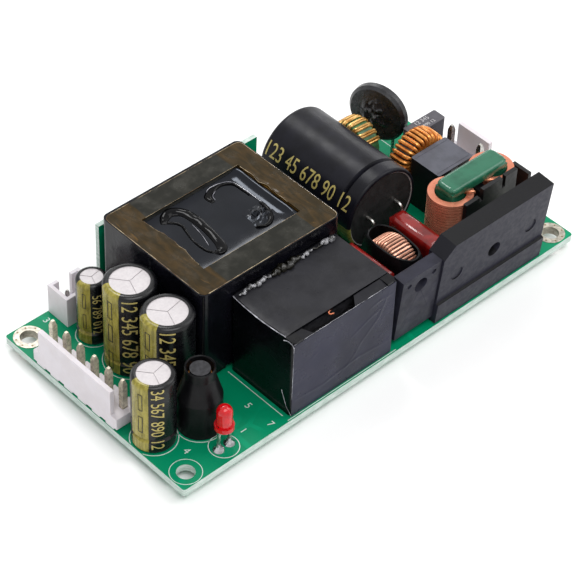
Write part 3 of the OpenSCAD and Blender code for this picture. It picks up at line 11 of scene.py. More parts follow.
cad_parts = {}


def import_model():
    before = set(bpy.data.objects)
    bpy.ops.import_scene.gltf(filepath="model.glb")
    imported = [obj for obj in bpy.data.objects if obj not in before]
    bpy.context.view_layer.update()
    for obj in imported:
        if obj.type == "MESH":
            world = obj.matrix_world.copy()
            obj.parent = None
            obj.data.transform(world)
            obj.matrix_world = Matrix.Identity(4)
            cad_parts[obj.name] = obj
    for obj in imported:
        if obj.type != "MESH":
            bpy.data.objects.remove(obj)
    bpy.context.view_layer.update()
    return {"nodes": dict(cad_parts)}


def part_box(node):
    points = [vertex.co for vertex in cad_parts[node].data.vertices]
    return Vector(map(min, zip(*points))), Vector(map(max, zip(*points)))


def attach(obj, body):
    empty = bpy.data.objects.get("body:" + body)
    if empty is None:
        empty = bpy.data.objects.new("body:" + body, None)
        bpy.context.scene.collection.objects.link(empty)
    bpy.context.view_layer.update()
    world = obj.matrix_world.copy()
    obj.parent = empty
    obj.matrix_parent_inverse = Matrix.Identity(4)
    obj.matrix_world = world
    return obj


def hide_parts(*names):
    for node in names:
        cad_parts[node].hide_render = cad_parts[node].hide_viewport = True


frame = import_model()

MM = 0.001
NODES = frame["nodes"]
scene = bpy.context.scene


def corners(node):
    """Lowest and highest corner of a CAD node, in millimetres."""
    low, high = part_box(node)
    return low / MM, high / MM


def middle(node):
    low, high = corners(node)
    return (low + high) / 2


BOARD_LOW, BOARD_HIGH = corners("pcb")
BOARD_TOP = BOARD_HIGH.z
HOLE_X, HOLE_Y = 95.25 / 2, 44.45 / 2
HOLE_D = 3.5
WINDING_LOW, WINDING_HIGH = corners("transformer_winding")


def having(thing, **values):
    """Sets the thing's attributes and returns it."""
    for key, value in values.items():
        setattr(thing, key, value)
    return thing


def placed(name, data):
    """A new object in the scene that shows the data."""
    made = bpy.data.objects.new(name, data)
    scene.collection.objects.link(made)
    return made


# ---- colour and shader nodes ----

EVEN = (1, 1, 1)


def rgb(tone):
    """Linear colour from the 0 to 255 values that it should show."""
    parts = (v / 255 for v in tone)
    return (*(v / 12.92 if v <= 0.04045 else ((v + 0.055) / 1.055) ** 2.4 for v in parts), 1.0)


def shade(tone, by):
    return tuple(c * by for c in tone)


def feed(tree, socket, value):
    """Links a socket to another one, or gives it a constant."""
    if isinstance(value, bpy.types.NodeSocket):
        tree.links.new(value, socket)
    else:
        socket.default_value = value


def add_node(tree, kind, *inputs, **settings):
    """A new shader node with its first inputs fed in their order."""
    made = having(tree.nodes.new(kind), **settings)
    for socket, value in zip(made.inputs, inputs):
        feed(tree, socket, value)
    return made


class Look:
    """A Principled material whose colour, gloss and relief come from patterns measured in millimetres."""

    def __init__(self, name, **constants):
        self.material = having(bpy.data.materials.new(name), use_nodes=True)
        self.tree = self.material.node_tree
        self.shader = self.tree.nodes["Principled BSDF"]
        self.fed(self.shader, **constants)
        coordinates = self.node("ShaderNodeTexCoord").outputs["Object"]
        scale = self.node("ShaderNodeVectorMath", coordinates, operation="SCALE")
        self.place = self.fed(scale, Scale=1 / MM).outputs["Vector"]
        self.last_normal = None

    def node(self, kind, *inputs, **settings):
        return add_node(self.tree, kind, *inputs, **settings)

    def fed(self, made, **inputs):
        """Feeds the inputs of a node by their names, with _ for a blank, and returns the node."""
        for name, value in inputs.items():
            feed(self.tree, made.inputs[name.replace("_", " ")], value)
        return made

    def math(self, operation, a, b=0.0):
        return self.node("ShaderNodeMath", a, b, 0.0, operation=operation).outputs[0]

    def plus(self, a, b):
        return self.math("ADD", a, b)

    def minus(self, a, b):
        return self.math("SUBTRACT", a, b)

    def times(self, a, b):
        return self.math("MULTIPLY", a, b)

    def size(self, a):
        return self.math("ABSOLUTE", a)

    def axis(self, letter, source=None):
        return self.node("ShaderNodeSeparateXYZ", source or self.place).outputs[letter]

    def noise(self, size, detail=3.0, stretch=EVEN, warp=0.0):
        """Noise whose blobs are about size millimetres across, longer where stretch is more than 1."""
        made = self.node("ShaderNodeTexNoise")
        scale = tuple(1 / (size * s) for s in stretch)
        spot = self.node("ShaderNodeVectorMath", self.place, scale, operation="MULTIPLY").outputs["Vector"]
        return self.fed(made, Vector=spot, Scale=1.0, Detail=detail, Roughness=0.55, Distortion=warp).outputs[0]

    def cell_edges(self, size):
        """How far a place is from the edge of its cell; the cells are about size millimetres across."""
        made = self.node("ShaderNodeTexVoronoi", feature="DISTANCE_TO_EDGE")
        return self.fed(made, Vector=self.place, Scale=1 / size).outputs["Distance"]

    def span(self, value, low, high, to_low=0.0, to_high=1.0):
        """The value's way from low to high as an S-curve from to_low to to_high."""
        inputs = (value, low, high, to_low, to_high)
        return self.node("ShaderNodeMapRange", *inputs, interpolation_type="SMOOTHSTEP").outputs[0]

    def mix(self, share, a, b):
        """a where share is 0 and b where it is 1: each is a socket or the 0 to 255 values of a tone."""
        a, b = (rgb(tone) if isinstance(tone, tuple) else tone for tone in (a, b))
        return self.fed(self.node("ShaderNodeMix", data_type="RGBA"), Factor=share, A=a, B=b).outputs["Result"]

    def blend(self, pattern, dark, light, low=0.35, high=0.65):
        """Two tones mixed by the noise whose settings are the pattern."""
        return self.mix(self.span(self.noise(*pattern), low, high), dark, light)

    def relief(self, height, depth, strength=1.0):
        """Bumps as deep as depth, from a socket or from the settings of a noise."""
        height = self.noise(*height) if isinstance(height, tuple) else height
        made = self.fed(self.node("ShaderNodeBump"), Strength=strength, Distance=depth * MM, Height=height)
        if self.last_normal:
            self.fed(made, Normal=self.last_normal)
        self.last_normal = made.outputs["Normal"]
        self.fed(self.shader, Normal=self.last_normal)

    def done(self, tone, shine, rough, *bumps):
        """The material, with its colour, its roughness between two values by a noise, and its bumps."""
        roughness = self.span(self.noise(*shine), 0.3, 0.7, *rough)
        self.fed(self.shader, Base_Color=tone, Roughness=roughness)
        for bump in bumps:
            self.relief(*bump)
        return self.material

    def facing(self, letter):
        """The surface's own normal along an axis of the model."""
        return self.axis(letter, self.node("ShaderNodeNewGeometry").outputs["Normal"])


# ---- materials ----


def blotched(name, dark, light, blotch, shine, rough, *bumps, spread=(0.35, 0.65), **constants):
    """Two close tones in soft blotches, roughness between the two rough values, and bumps.

    blotch, shine and each bump's first value are the settings of a noise."""
    look = Look(name, **constants)
    return look.done(look.blend(blotch, dark, light, *spread), shine, rough, *bumps)


def stained(name, dark, light, size, rough, grain=0.25, depth=0.01, **constants):
    """A moulded or coated surface with fine grain."""
    bump = ((grain, 2), depth)
    return blotched(name, dark, light, (size,), (size * 0.6, 4), (rough * 0.85, rough * 1.2), bump, **constants)


def tin_look(name, tone, rough, metal=1.0):
    rough = (rough * 0.8, rough * 1.3)
    return blotched(name, shade(tone, 0.8), tone, (0.8, 4), (0.5, 4), rough, ((0.4, 3), 0.015), Metallic=metal)


def tape_look(name, dark, light, rough, wrinkle, size, level, tint=(1.0, 1.0, 1.0)):
    bumps = ((size, 2, EVEN, 0.6), wrinkle * 2, 0.7), ((size * 0.35, 3, EVEN, 1.2), wrinkle, 0.5)
    return blotched(
        name, dark, light, (size * 1.5,), (size, 3), (rough * 0.75, rough * 1.3), *bumps,
        Specular_IOR_Level=level, Specular_Tint=(*tint, 1.0),
    )


def copper_look(name, dark, light, rough=0.25, size=2.0):
    rough = (rough * 0.8, rough * 1.3)
    return blotched(
        name, dark, light, (size, 3), (size * 0.5, 3), rough, ((0.6, 2), 0.01),
        Metallic=0.55, Specular_IOR_Level=0.5,
    )


def print_look(name, tone):
    return blotched(name, shade(tone, 0.9), tone, (0.7, 3), (0.5, 3), (0.45, 0.6), spread=(0.3, 0.7))


def board_look(name, flat):
    """Solder mask over copper on the faces along the flat axis, and bare pale laminate on the sawn edges."""
    look = Look(name, Specular_IOR_Level=0.16)
    tone = look.blend((9, 2), (0, 132, 92), (0, 146, 104), 0.4, 0.6)
    weave = look.times(look.math("SINE", look.times(look.axis("X"), 9.0)), 0.5)
    pour = look.span(look.cell_edges(7.5), 0.05, 0.07)
    laminate = look.blend((0.5, 3, (4, 4, 0.3)), (170, 190, 180), (206, 218, 212))
    side = look.span(look.size(look.facing(flat)), 0.4, 0.6, 1.0, 0.0)
    tone = look.mix(side, look.mix(pour, tone, (0, 133, 93)), laminate)
    return look.done(tone, (3,), (0.3, 0.42), (pour, 0.006, 0.5), (weave, 0.004, 0.5))


def film_look(name, cans):
    """Shrink film with an olive gold stripe on each can, given as axis x, y, radius, heading and half angle."""
    look = Look(name, Specular_IOR_Level=0.32)
    share = None
    for x, y, radius, heading, half in cans:
        dx, dy = look.minus(look.axis("X"), x), look.minus(look.axis("Y"), y)
        c, s = cos(heading), sin(heading)
        ahead = look.plus(look.times(dx, c), look.times(dy, s))
        turn = look.size(look.math("ARCTAN2", look.minus(look.times(dy, c), look.times(dx, s)), ahead))
        reach = look.math("SQRT", look.plus(look.times(dx, dx), look.times(dy, dy)))
        here = look.times(look.math("LESS_THAN", reach, radius + 0.2), look.math("LESS_THAN", turn, half))
        share = here if share is None else look.math("MAXIMUM", share, here)
    brushed = look.blend((0.6, 4, (1, 1, 6)), (120, 112, 42), (160, 149, 68))
    tone = look.mix(share, look.blend((3,), (9, 9, 11), (17, 17, 20)), brushed)
    return look.done(tone, (2, 3), (0.2, 0.34), ((1.8, 3, (1, 1, 2)), 0.01, 0.5))


def bulk_film_look(axis_x, axis_z):
    """The lying can's film: its stripe runs along Y, low on the side that faces -X."""
    look = Look("bulk_film", Specular_IOR_Level=0.17)
    dx, dz = look.minus(axis_x, look.axis("X")), look.minus(look.axis("Z"), axis_z)
    turn = look.size(look.plus(look.math("ARCTAN2", dz, dx), 0.3))
    black = look.blend((4,), (13, 13, 19), (21, 21, 29))
    brushed = look.blend((0.6, 4, (1, 6, 1)), (92, 92, 38), (122, 122, 60))
    tone = look.mix(look.math("LESS_THAN", turn, 0.27), black, brushed)
    return look.done(tone, (2.5, 3), (0.3, 0.38), ((2.5, 3, (1, 2, 1)), 0.014, 0.5))


def coil_look():
    """Flat copper wire wound on edge: even turns that show as fine level lines."""
    look = Look("coil_copper", Metallic=0.4)
    turn = look.math("FRACT", look.math("DIVIDE", look.axis("Z"), 0.24))
    seam = look.span(look.size(look.minus(turn, 0.5)), 0.36, 0.5)
    tone = look.mix(seam, look.blend((5, 2, (1, 1, 3)), (214, 130, 100), (232, 156, 126)), (186, 106, 80))
    return look.done(tone, (2.5, 2), (0.24, 0.32), (seam, 0.004, 0.3))


def face_shaded_look(name, top, side, rough, level=0.3):
    """A potted box: its top face gets another tone than its sides, painted light and shade by which way each face
    looks.
    """
    look = Look(name, Specular_IOR_Level=level)
    blotches = look.blend((2.5, 4), shade(top, 0.92), shade(top, 1.05))
    tone = look.mix(look.span(look.facing("Z"), 0.5, 0.8), side, blotches)
    return look.done(tone, (1.0, 4), (rough * 0.85, rough * 1.2), ((0.3, 3), 0.012))


def top_film_look():
    """Tape over the core: amber at both ends, clear over dark ferrite between them."""
    look = Look("top_film", Specular_IOR_Level=0.17)
    along = look.plus(look.axis("X"), look.times(look.minus(look.noise(5, 2), 0.5), 0.5))
    middle_x, reach = (WINDING_LOW.x + WINDING_HIGH.x) / 2, (WINDING_HIGH.x - WINDING_LOW.x) / 2 - 0.1
    amber = look.span(look.size(look.minus(along, middle_x)), reach, reach + 0.15)
    brown = look.blend((1.8, 4, (1, 3.5, 1), 1.2), (43, 34, 14), (63, 47, 20), 0.36, 0.68)
    brown = look.blend((0.9, 3, (1, 4, 1), 0.8), brown, (84, 61, 24), 0.62, 0.75)
    tone = look.mix(amber, look.blend((2.5, 5), (31, 31, 26), (42, 41, 35)), brown)
    return look.done(tone, (2.5, 3), (0.12, 0.3), ((3.0, 2, (1, 2.5, 1), 0.8), 0.06, 0.5))


MATERIALS = {
    "board": board_look("board_mask", "Z"),
    "aux_board": board_look("aux_board_mask", "Y"),
    "tin": tin_look("tinned", (205, 203, 198), 0.28),
    "pad": tin_look("pad_tin", (196, 190, 176), 0.35),
    "gilt": tin_look("gilt_pins", (228, 220, 198), 0.34, 0.4),
    "solder": tin_look("solder", (190, 190, 192), 0.22),
    "barrel": tin_look("hole_wall", (132, 112, 72), 0.45, 0.4),
    "light_metal": tin_look("light_metal", (150, 40, 40), 0.4, 0.6),
    "aluminium": blotched(
        "drawn_aluminium", (186, 181, 183), (197, 192, 193), (0.5, 3), (1.0, 4), (0.42, 0.58), ((0.3, 2), 0.004),
        spread=(0.3, 0.7), Metallic=0.3,
    ),
    "nylon": blotched(
        "white_nylon", (213, 207, 211), (219, 214, 219), (4,), (1.5, 4), (0.42, 0.6), ((0.3, 2), 0.006),
        Subsurface_Weight=0.25, Subsurface_Radius=(0.6, 0.55, 0.5), Subsurface_Scale=MM,
    ),
    "led": blotched(
        "red_epoxy", (196, 4, 14), (216, 14, 24), (1.2, 2), (1.0, 2), (0.05, 0.12),
        spread=(0.3, 0.7), Transmission_Weight=0.15, IOR=1.5,
    ),
    # The glue's white blotches are partly its own whitening where crinkled and partly painted highlights.
    "glue": blotched(
        "clear_glue", (24, 24, 22), (216, 216, 222), (0.8, 3), (0.6, 3), (0.04, 0.2), ((0.35, 3, EVEN, 1.0), 0.06),
        spread=(0.4, 0.6), Transmission_Weight=0.6, IOR=1.45, Coat_Weight=0.6, Coat_Roughness=0.05,
    ),
    "amber": blotched(
        "amber_tape", (48, 35, 12), (80, 58, 22), (5, 4, EVEN, 0.8), (2.5, 3), (0.16, 0.34),
        ((4, 2, EVEN, 0.8), 0.12, 0.5), spread=(0.3, 0.7), Specular_IOR_Level=0.25,
    ),
    "core": blotched(
        "varnished_ferrite", (38, 38, 36), (50, 50, 47), (3, 4), (2, 4), (0.32, 0.48), ((0.5, 3), 0.01),
        Specular_IOR_Level=0.3,
    ),
    "rubber": stained("bung_rubber", (20, 20, 21), (30, 30, 31), 2, 0.6),
    "ferrite": stained("ferrite", (32, 32, 35), (50, 50, 54), 0.8, 0.5, Specular_IOR_Level=0.3),
    "green_core": stained("green_coating", (22, 86, 62), (38, 104, 78), 4, 0.22, 0.8, 0.02),
    "ring_green": stained("ring_green", (40, 84, 52), (72, 116, 70), 2, 0.4),
    "ring_brown": stained("ring_brown", (40, 24, 12), (70, 44, 22), 1.5, 0.4),
    "shrink": stained("shrink_tube", (10, 10, 12), (18, 18, 20), 3, 0.36, 0.5, 0.02, Specular_IOR_Level=0.16),
    "bobbin": stained("bobbin_moulding", (12, 12, 13), (20, 20, 22), 2, 0.4, Specular_IOR_Level=0.25),
    "epoxy": stained("dark_epoxy", (31, 31, 41), (39, 39, 51), 3, 0.5, 0.18, 0.012, Specular_IOR_Level=0.2),
    "chip": stained("chip_epoxy", (30, 30, 32), (42, 42, 45), 1, 0.5),
    "red_dip": stained(
        "red_dip", (104, 14, 12), (140, 26, 22), 3, 0.14, 1.6, 0.05, Coat_Weight=0.2, Coat_Roughness=0.09
    ),
    "disc": stained("resin_disc", (18, 18, 21), (34, 34, 38), 1.5, 0.3, 0.5, 0.05),
    "copper": copper_look("round_copper", (196, 112, 78), (226, 150, 112)),
    "pale_copper": copper_look("pale_copper", (204, 136, 110), (228, 172, 146), 0.22, 5.0),
    "amber_wire": copper_look("amber_wire", (188, 108, 40), (226, 154, 78)),
    "gold_wire": copper_look("gold_wire", (170, 122, 56), (214, 172, 104), 0.2),
    "coil_copper": coil_look(),
    "top_film": top_film_look(),
    # The top and side tones of these three boxes are painted light and shade, chosen by which way each face looks.
    "bridge_epoxy": face_shaded_look("bridge_epoxy", (14, 14, 17), (36, 36, 47), 0.45, 0.18),
    "x_box": face_shaded_look("potted_box", (80, 81, 90), (14, 14, 18), 0.45),
    "y_box": face_shaded_look("small_box", (80, 78, 84), (64, 64, 73), 0.4),
}

# Tones, roughness, depth and size of the wrinkles, specular level, and tint of the shine.
TAPES = {
    "window_tape": ((5, 5, 8), (12, 12, 17), 0.14, 0.003, 6.0, 0.3, (0.78, 0.86, 1.0)),
    "black_tape": ((8, 8, 13), (15, 15, 22), 0.2, 0.05, 5.0, 0.2),
    # The next three are one black tape on the boost choke: darker on its sides, lighter on its top and flaps,
    # lighter and bluer on its front; these differences are painted light and shade.
    "side_tape_painted_shade": ((5, 5, 8), (11, 11, 15), 0.24, 0.05, 5.0, 0.2),
    "choke_tape_painted_light": ((23, 23, 27), (30, 30, 35), 0.36, 0.05, 4.0, 0.18),
    "front_tape_painted_light": ((27, 28, 44), (35, 36, 55), 0.3, 0.03, 5.0, 0.19),
    # The folds' tape is the window tape in a darker, less shiny copy: painted shade where the folds show dark.
    "fold_tape_painted_shade": ((3, 3, 4), (8, 8, 11), 0.08, 0.02, 2.5, 0.12),
    "edge_light": ((112, 112, 120), (206, 206, 214), 0.12, 0.0, 1.2, 0.6),
    # The gold edge tones are thin pale tubes of painted highlight on the film's edges.
    "gold_edge_highlight": ((96, 66, 30), (206, 186, 150), 0.12, 0.0, 2.4, 0.6),
    "dark_glue": ((12, 11, 8), (30, 28, 20), 0.07, 0.05, 1.2, 0.5),
}
PRINTS = {
    "grey_print": (190, 188, 190),
    "gold_print": (186, 170, 100),
    "black_print": (24, 24, 22),
    "white_print": (214, 226, 220),
}
MATERIALS.update({name: tape_look(name, *facts) for name, facts in TAPES.items()})
MATERIALS.update({name: print_look(name, tone) for name, tone in PRINTS.items()})


# ---- mesh helpers ----


def piece(name, verts, faces, material, smooth=True, stands_for=(), sharp=40):
    """A new piece from millimetre vertices, riding on the board."""
    mesh = bpy.data.meshes.new(name)
    mesh.from_pydata([Vector(v) * MM for v in verts], [], faces)
    work = bmesh.new()
    work.from_mesh(mesh)
    bmesh.ops.remove_doubles(work, verts=work.verts, dist=1e-7)
    bmesh.ops.recalc_face_normals(work, faces=work.faces)
    work.to_mesh(mesh)
    work.free()
    mesh.materials.append(MATERIALS[material])
    mesh.polygons.foreach_set("use_smooth", [smooth] * len(mesh.polygons))
    if smooth:
        mesh.set_sharp_from_angle(angle=radians(sharp))
    made = placed(name, mesh)
    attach(made, "root")
    if stands_for:
        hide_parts(*stands_for)


def round_at(centre, reach, angle, z):
    """A point reach from an upright axis, in the direction of the angle."""
    return Vector((centre[0] + reach * cos(angle), centre[1] + reach * sin(angle), z))


class Build:
    """Gathers closed shapes into one list of vertices and faces."""

    def __init__(self):
        self.verts = []
        self.faces = []

    def add(self, verts, faces):
        start = len(self.verts)
        self.verts += [Vector(v) for v in verts]
        self.faces += [[start + i for i in face] for face in faces]

    def loft(self, loops, ends=None, closed=False):
        """Skins loops of equally many points: closed onto the first, or ended by flat or given faces."""
        around, count = len(loops[0]), len(loops)
        if ends is None:
            ends = [] if closed else [list(range(around))[::-1], list(range((count - 1) * around, count * around))]
        faces = []
        for i in range(count if closed else count - 1):
            a, b = i * around, (i + 1) % count * around
            for k in range(around):
                m = (k + 1) % around
                faces.append([a + k, a + m, b + m, b + k])
        self.add([v for loop in loops for v in loop], faces + ends)

    def grid(self, top, bottom, nu, nv):
        """A closed slab between two sheets, each a function of u and v from 0 to 1."""
        loops = []
        for i in range(nu + 1):
            there = [top(i / nu, j / nv) for j in range(nv + 1)]
            loops.append(there + [bottom(i / nu, j / nv) for j in range(nv, -1, -1)])
        around = 2 * (nv + 1)
        starts = (0, nu * around)
        pairs = [(start + k, start + around - 1 - k) for start in starts for k in range(nv)]
        self.loft(loops, [[a, a + 1, b - 1, b] for a, b in pairs])

    def box(self, low, high):
        xs, ys, zs = zip(low, high)
        self.loft([[(xs[0], ys[0], z), (xs[1], ys[0], z), (xs[1], ys[1], z), (xs[0], ys[1], z)] for z in zs])

    def ring(self, centre, inner, outer, z0, z1, start=0.0, sweep=360.0):
        """A flat ring or an arc of one, standing on z0."""
        steps = max(6, round(sweep / 7))
        whole = sweep >= 360
        angles = [radians(start + sweep * i / steps) for i in range(steps if whole else steps + 1)]
        section = ((inner, z0), (outer, z0), (outer, z1), (inner, z1))
        self.loft([[round_at(centre, r, a, z) for r, z in section] for a in angles], closed=whole)

    def tube(self, points, radius, sides=8):
        """A round wire along the points, closed at both ends. radius may be a list, one for each point."""
        points = [Vector(p) for p in points]
        last = len(points) - 1
        radii = radius if isinstance(radius, list) else [radius] * len(points)
        tangents = [(points[min(i + 1, last)] - points[max(i - 1, 0)]).normalized() for i in range(last + 1)]
        side = tangents[0].orthogonal().normalized()
        angles = [2 * pi * k / sides for k in range(sides)]
        loops = []
        for point, tangent, r in zip(points, tangents, radii):
            side = (side - tangent * side.dot(tangent)).normalized()
            other = tangent.cross(side)
            loops.append([point + r * (side * cos(a) + other * sin(a)) for a in angles])
        self.loft(loops)

    def lathe(self, centre, profile, steps=48):
        """A turned shape from (radius, z) points. The first and last radius are 0: piece() merges their points."""
        angles = [2 * pi * k / steps for k in range(steps)]
        self.loft([[round_at(centre, r, a, z) for a in angles] for r, z in profile], ends=[])

    def place(self, name, material, **more):
        piece(name, self.verts, self.faces, material, **more)


FIGURE_CUTS = 6  # cuts on each side of a figure's middle, so that it can bend round a can


def digits(text, size, thick):
    """Plain figures as a closed flat mesh in x and y, size high, with its middle at the origin."""
    curve = having(
        bpy.data.curves.new("figures", "FONT"),
        body=text, size=size * 1.4, extrude=thick / 2, resolution_u=3, align_x="CENTER", align_y="CENTER",
    )
    holder = placed("figures", curve)
    bpy.context.view_layer.update()
    mesh = bpy.data.meshes.new_from_object(holder)
    work = bmesh.new()
    work.from_mesh(mesh)
    bmesh.ops.remove_doubles(work, verts=work.verts, dist=1e-5)
    for i in range(-FIGURE_CUTS, FIGURE_CUTS + 1):
        everything = work.verts[:] + work.edges[:] + work.faces[:]
        cut = (0, i * size / 8 + 0.01 * size, 0)
        bmesh.ops.bisect_plane(work, geom=everything, plane_co=cut, plane_no=(0, 1, 0))
    bmesh.ops.triangulate(work, faces=work.faces)
    verts = [v.co.copy() for v in work.verts]
    faces = [[v.index for v in f.verts] for f in work.faces]
    work.free()
    bpy.data.objects.remove(holder)
    bpy.data.curves.remove(curve)
    bpy.data.meshes.remove(mesh)
    return verts, faces


def frame_strip(width, height, line, thick=0.02, parts=6):
    """A rectangular outline in x and y, its level sides in parts so that it can be bent."""
    build = Build()
    run = (width - 2 * line) / parts
    for s in (-1, 1):
        x, y = s * (width - line) / 2, s * (height - line) / 2
        build.box((x - line / 2, -height / 2, 0), (x + line / 2, height / 2, thick))
        for i in range(parts):
            x = -width / 2 + line + i * run
            build.box((x, y - line / 2, 0), (x + run, y + line / 2, thick))
    return build.verts, build.faces


# ---- the CAD nodes' materials and edge rounding ----

FINISH = {
    "board": "pcb",
    "aux_board": "daughter_board",
    "pad": "mounting_pads",
    "solder": "solder_joints",
    "chip": "smd_parts daughter_board_parts",
    "nylon": "output_header mains_header aux_header",
    "gilt": "output_header_pins",
    "tin": "mains_header_pins aux_header_pins capacitor_leads status_light_leads transformer_pins boost_choke_pins"
           " power_transistor_leads bridge_rectifier_leads component_leads daughter_board_pins",
    "aluminium": "output_capacitor_cans filter_capacitor_can bias_capacitor_can bulk_capacitor_can",
    "small_films": "output_capacitor_sleeves filter_capacitor_sleeve bias_capacitor_sleeve",
    "bulk_film": "bulk_capacitor_sleeve",
    "rubber": "capacitor_seals",
    "ferrite": "rod_choke_core boost_choke_core sleeved_choke_core",
    "amber_wire": "rod_choke_winding ring_choke_winding",
    "shrink": "rod_choke_sleeve sleeved_choke_sleeve",
    "led": "status_light",
    "core": "transformer_core",
    "amber": "transformer_core_tape",
    "black_tape": "transformer_wrap",
    "window_tape": "transformer_winding",
    "bobbin": "transformer_bobbin boost_choke_bobbin line_choke_base",
    # The choke's wrap tape is darker here than the same tape on its top and front: painted shade.
    "side_tape_painted_shade": "boost_choke_wrap",
    "copper": "boost_choke_winding",
    "coil_copper": "line_choke_coils",
    "glue": "glue_bead",
    "epoxy": "power_transistor",
    "bridge_epoxy": "bridge_rectifier",
    "x_box": "x_capacitor",
    "y_box": "box_capacitor",
    "red_dip": "film_capacitors",
    "ring_brown": "ring_choke_core",
    "ring_green": "mains_ring_core",
    "green_core": "line_choke_core",
    "gold_wire": "mains_ring_winding",
    "pale_copper": "sleeved_choke_winding",
    "disc": "thermistor_disc",
}

# Widths of the small rounding on the edges of moulded, wrapped and pressed parts.
ROUNDED = {
    0.06: "daughter_board_parts smd_parts",
    0.08: "pcb",
    0.1: "aux_header line_choke_base",
    0.12: "transformer_bobbin boost_choke_bobbin",
    0.14: "output_header mains_header power_transistor",
    0.15: "boost_choke_core",
    0.16: "bridge_rectifier",
    0.2: "x_capacitor box_capacitor",
    0.25: "transformer_winding",
    0.3: "mains_ring_core",
    0.4: "ring_choke_core",
    0.45: "film_capacitors",
    0.55: "line_choke_core",
}
ROUNDING = {node: width for width, nodes in ROUNDED.items() for node in nodes.split()}


def dress(made, material, rounding):
    made.data.materials.clear()
    made.data.materials.append(material)
    if rounding:
        having(made.modifiers.new("Weld", "WELD"), merge_threshold=1e-6)
        having(
            made.modifiers.new("Bevel", "BEVEL"), width=rounding * MM, segments=2 if rounding < 0.3 else 5,
            limit_method="ANGLE", angle_limit=radians(35), harden_normals=False,
        )


def upright_can(node, side):
    """Axis x, y and radius of an upright can, and its lowest and highest z; side is which of a pair, or 0."""
    low, high = corners(node)
    radius = (high.x - low.x) / 2
    y = (low.y + high.y) / 2 + side * ((high.y - low.y) / 2 - radius)
    return (low.x + high.x) / 2, y, radius, low.z, high.z


# Each upright can: its axis, radius and ends, where its stripe faces and half its width as angles, and its figures.
CANS = [
    (*upright_can(node, side), radians(heading), radians(half), text)
    for node, side, heading, half, text in (
        ("output_capacitor_sleeves", -1, 178, 28, "12 345 678 90"),
        ("output_capacitor_sleeves", 1, 178, 28, "12 345 678 90"),
        ("filter_capacitor_sleeve", 0, 189, 27.5, "34 567 890 12"),
        ("bias_capacitor_sleeve", 0, 196, 29, "56 789 012"),
    )
]
BULK_LOW, BULK_HIGH = corners("bulk_capacitor_sleeve")
BULK_MIDDLE = middle("bulk_capacitor_sleeve")
BULK_R = (BULK_HIGH.x - BULK_LOW.x) / 2

MATERIALS["small_films"] = film_look("small_films", [can[:3] + can[5:7] for can in CANS])
MATERIALS["bulk_film"] = bulk_film_look(BULK_MIDDLE.x, BULK_MIDDLE.z)

for finish, nodes in FINISH.items():
    for node in nodes.split():
        dress(NODES[node], MATERIALS[finish], ROUNDING.get(node))


# ==== PIECES ====

# ---- curves and waves ----


def ripple(x, y, z):
    return noise.noise(Vector((x, y, z)))


def clamped(value):
    return max(0.0, min(1.0, value))


def eased(value):
    value = clamped(value)
    return value * value * (3 - 2 * value)


def signed(value, power):
    """The value's size to a power, with the value's sign."""
    return copysign(abs(value) ** power, value)


def between(values, place):
    """What a list holds at a place that may lie between two of its entries."""
    k = min(int(place), len(values) - 2)
    return values[k] + (values[k + 1] - values[k]) * (place - k)


def path_distance(p, path):
    """How far p is from a path of straight lines, and how far along it the nearest place is, from 0 to 1."""
    best = (1e9, 0.0)
    for i, (a, b) in enumerate(zip(path, path[1:])):
        run = b - a
        share = clamped((p - a).dot(run) / max(run.length_squared, 1e-9))
        best = min(best, ((p - a - run * share).length, (i + share) / (len(path) - 1)))
    return best


def smooth(points, steps):
    """A Catmull-Rom curve through the points."""
    points = [Vector(p) for p in points]
    last = len(points) - 1
    out = []
    for i in range(last):
        p0, p1, p2, p3 = (points[max(0, min(last, i + k))] for k in (-1, 0, 1, 2))
        for t in (j / steps for j in range(steps)):
            bend = (2 * p0 - 5 * p1 + 4 * p2 - p3) * t * t + (3 * p1 - p0 - 3 * p2 + p3) * t ** 3
            out.append(0.5 * (2 * p1 + (p2 - p0) * t + bend))
    return out + [points[-1]]


def lowered(sheet, by):
    """The underside of a sheet that is by thick."""
    return lambda u, v: Vector(sheet(u, v)) - Vector((0, 0, by))


# ---- printing on the board ----

PRINT_LOW, PRINT_HIGH = BOARD_TOP + 0.005, BOARD_TOP + 0.02
LINE = 0.16  # width of a printed line

# Figures on the board: the text, how high it is, and its middle from the board's low corner.
BOARD_FIGURES = (
    ("4", 1.5, 6.5, 6.8), ("1", 1.4, 17.4, 3.8), ("5", 1.5, 22.2, 7.8), ("3", 1.5, 8.4, 49.0),
    ("7", 1.4, 22.2, 1.8), ("2", 1.4, 95.1, 7.2), ("9", 1.3, 94.0, 40.2), ("6", 1.3, 77.2, 48.2),
)


def ring_on_board(ink, x, y, inner, width=LINE):
    """A printed ring, left open where it would run off the board's end."""
    room = (x - BOARD_LOW.x - 0.12) / (inner + width)
    gap = degrees(acos(room)) if room < 1 else 0.0
    ink.ring((x, y), inner, inner + width, PRINT_LOW, PRINT_HIGH, 180 + gap, 360 - 2 * gap)


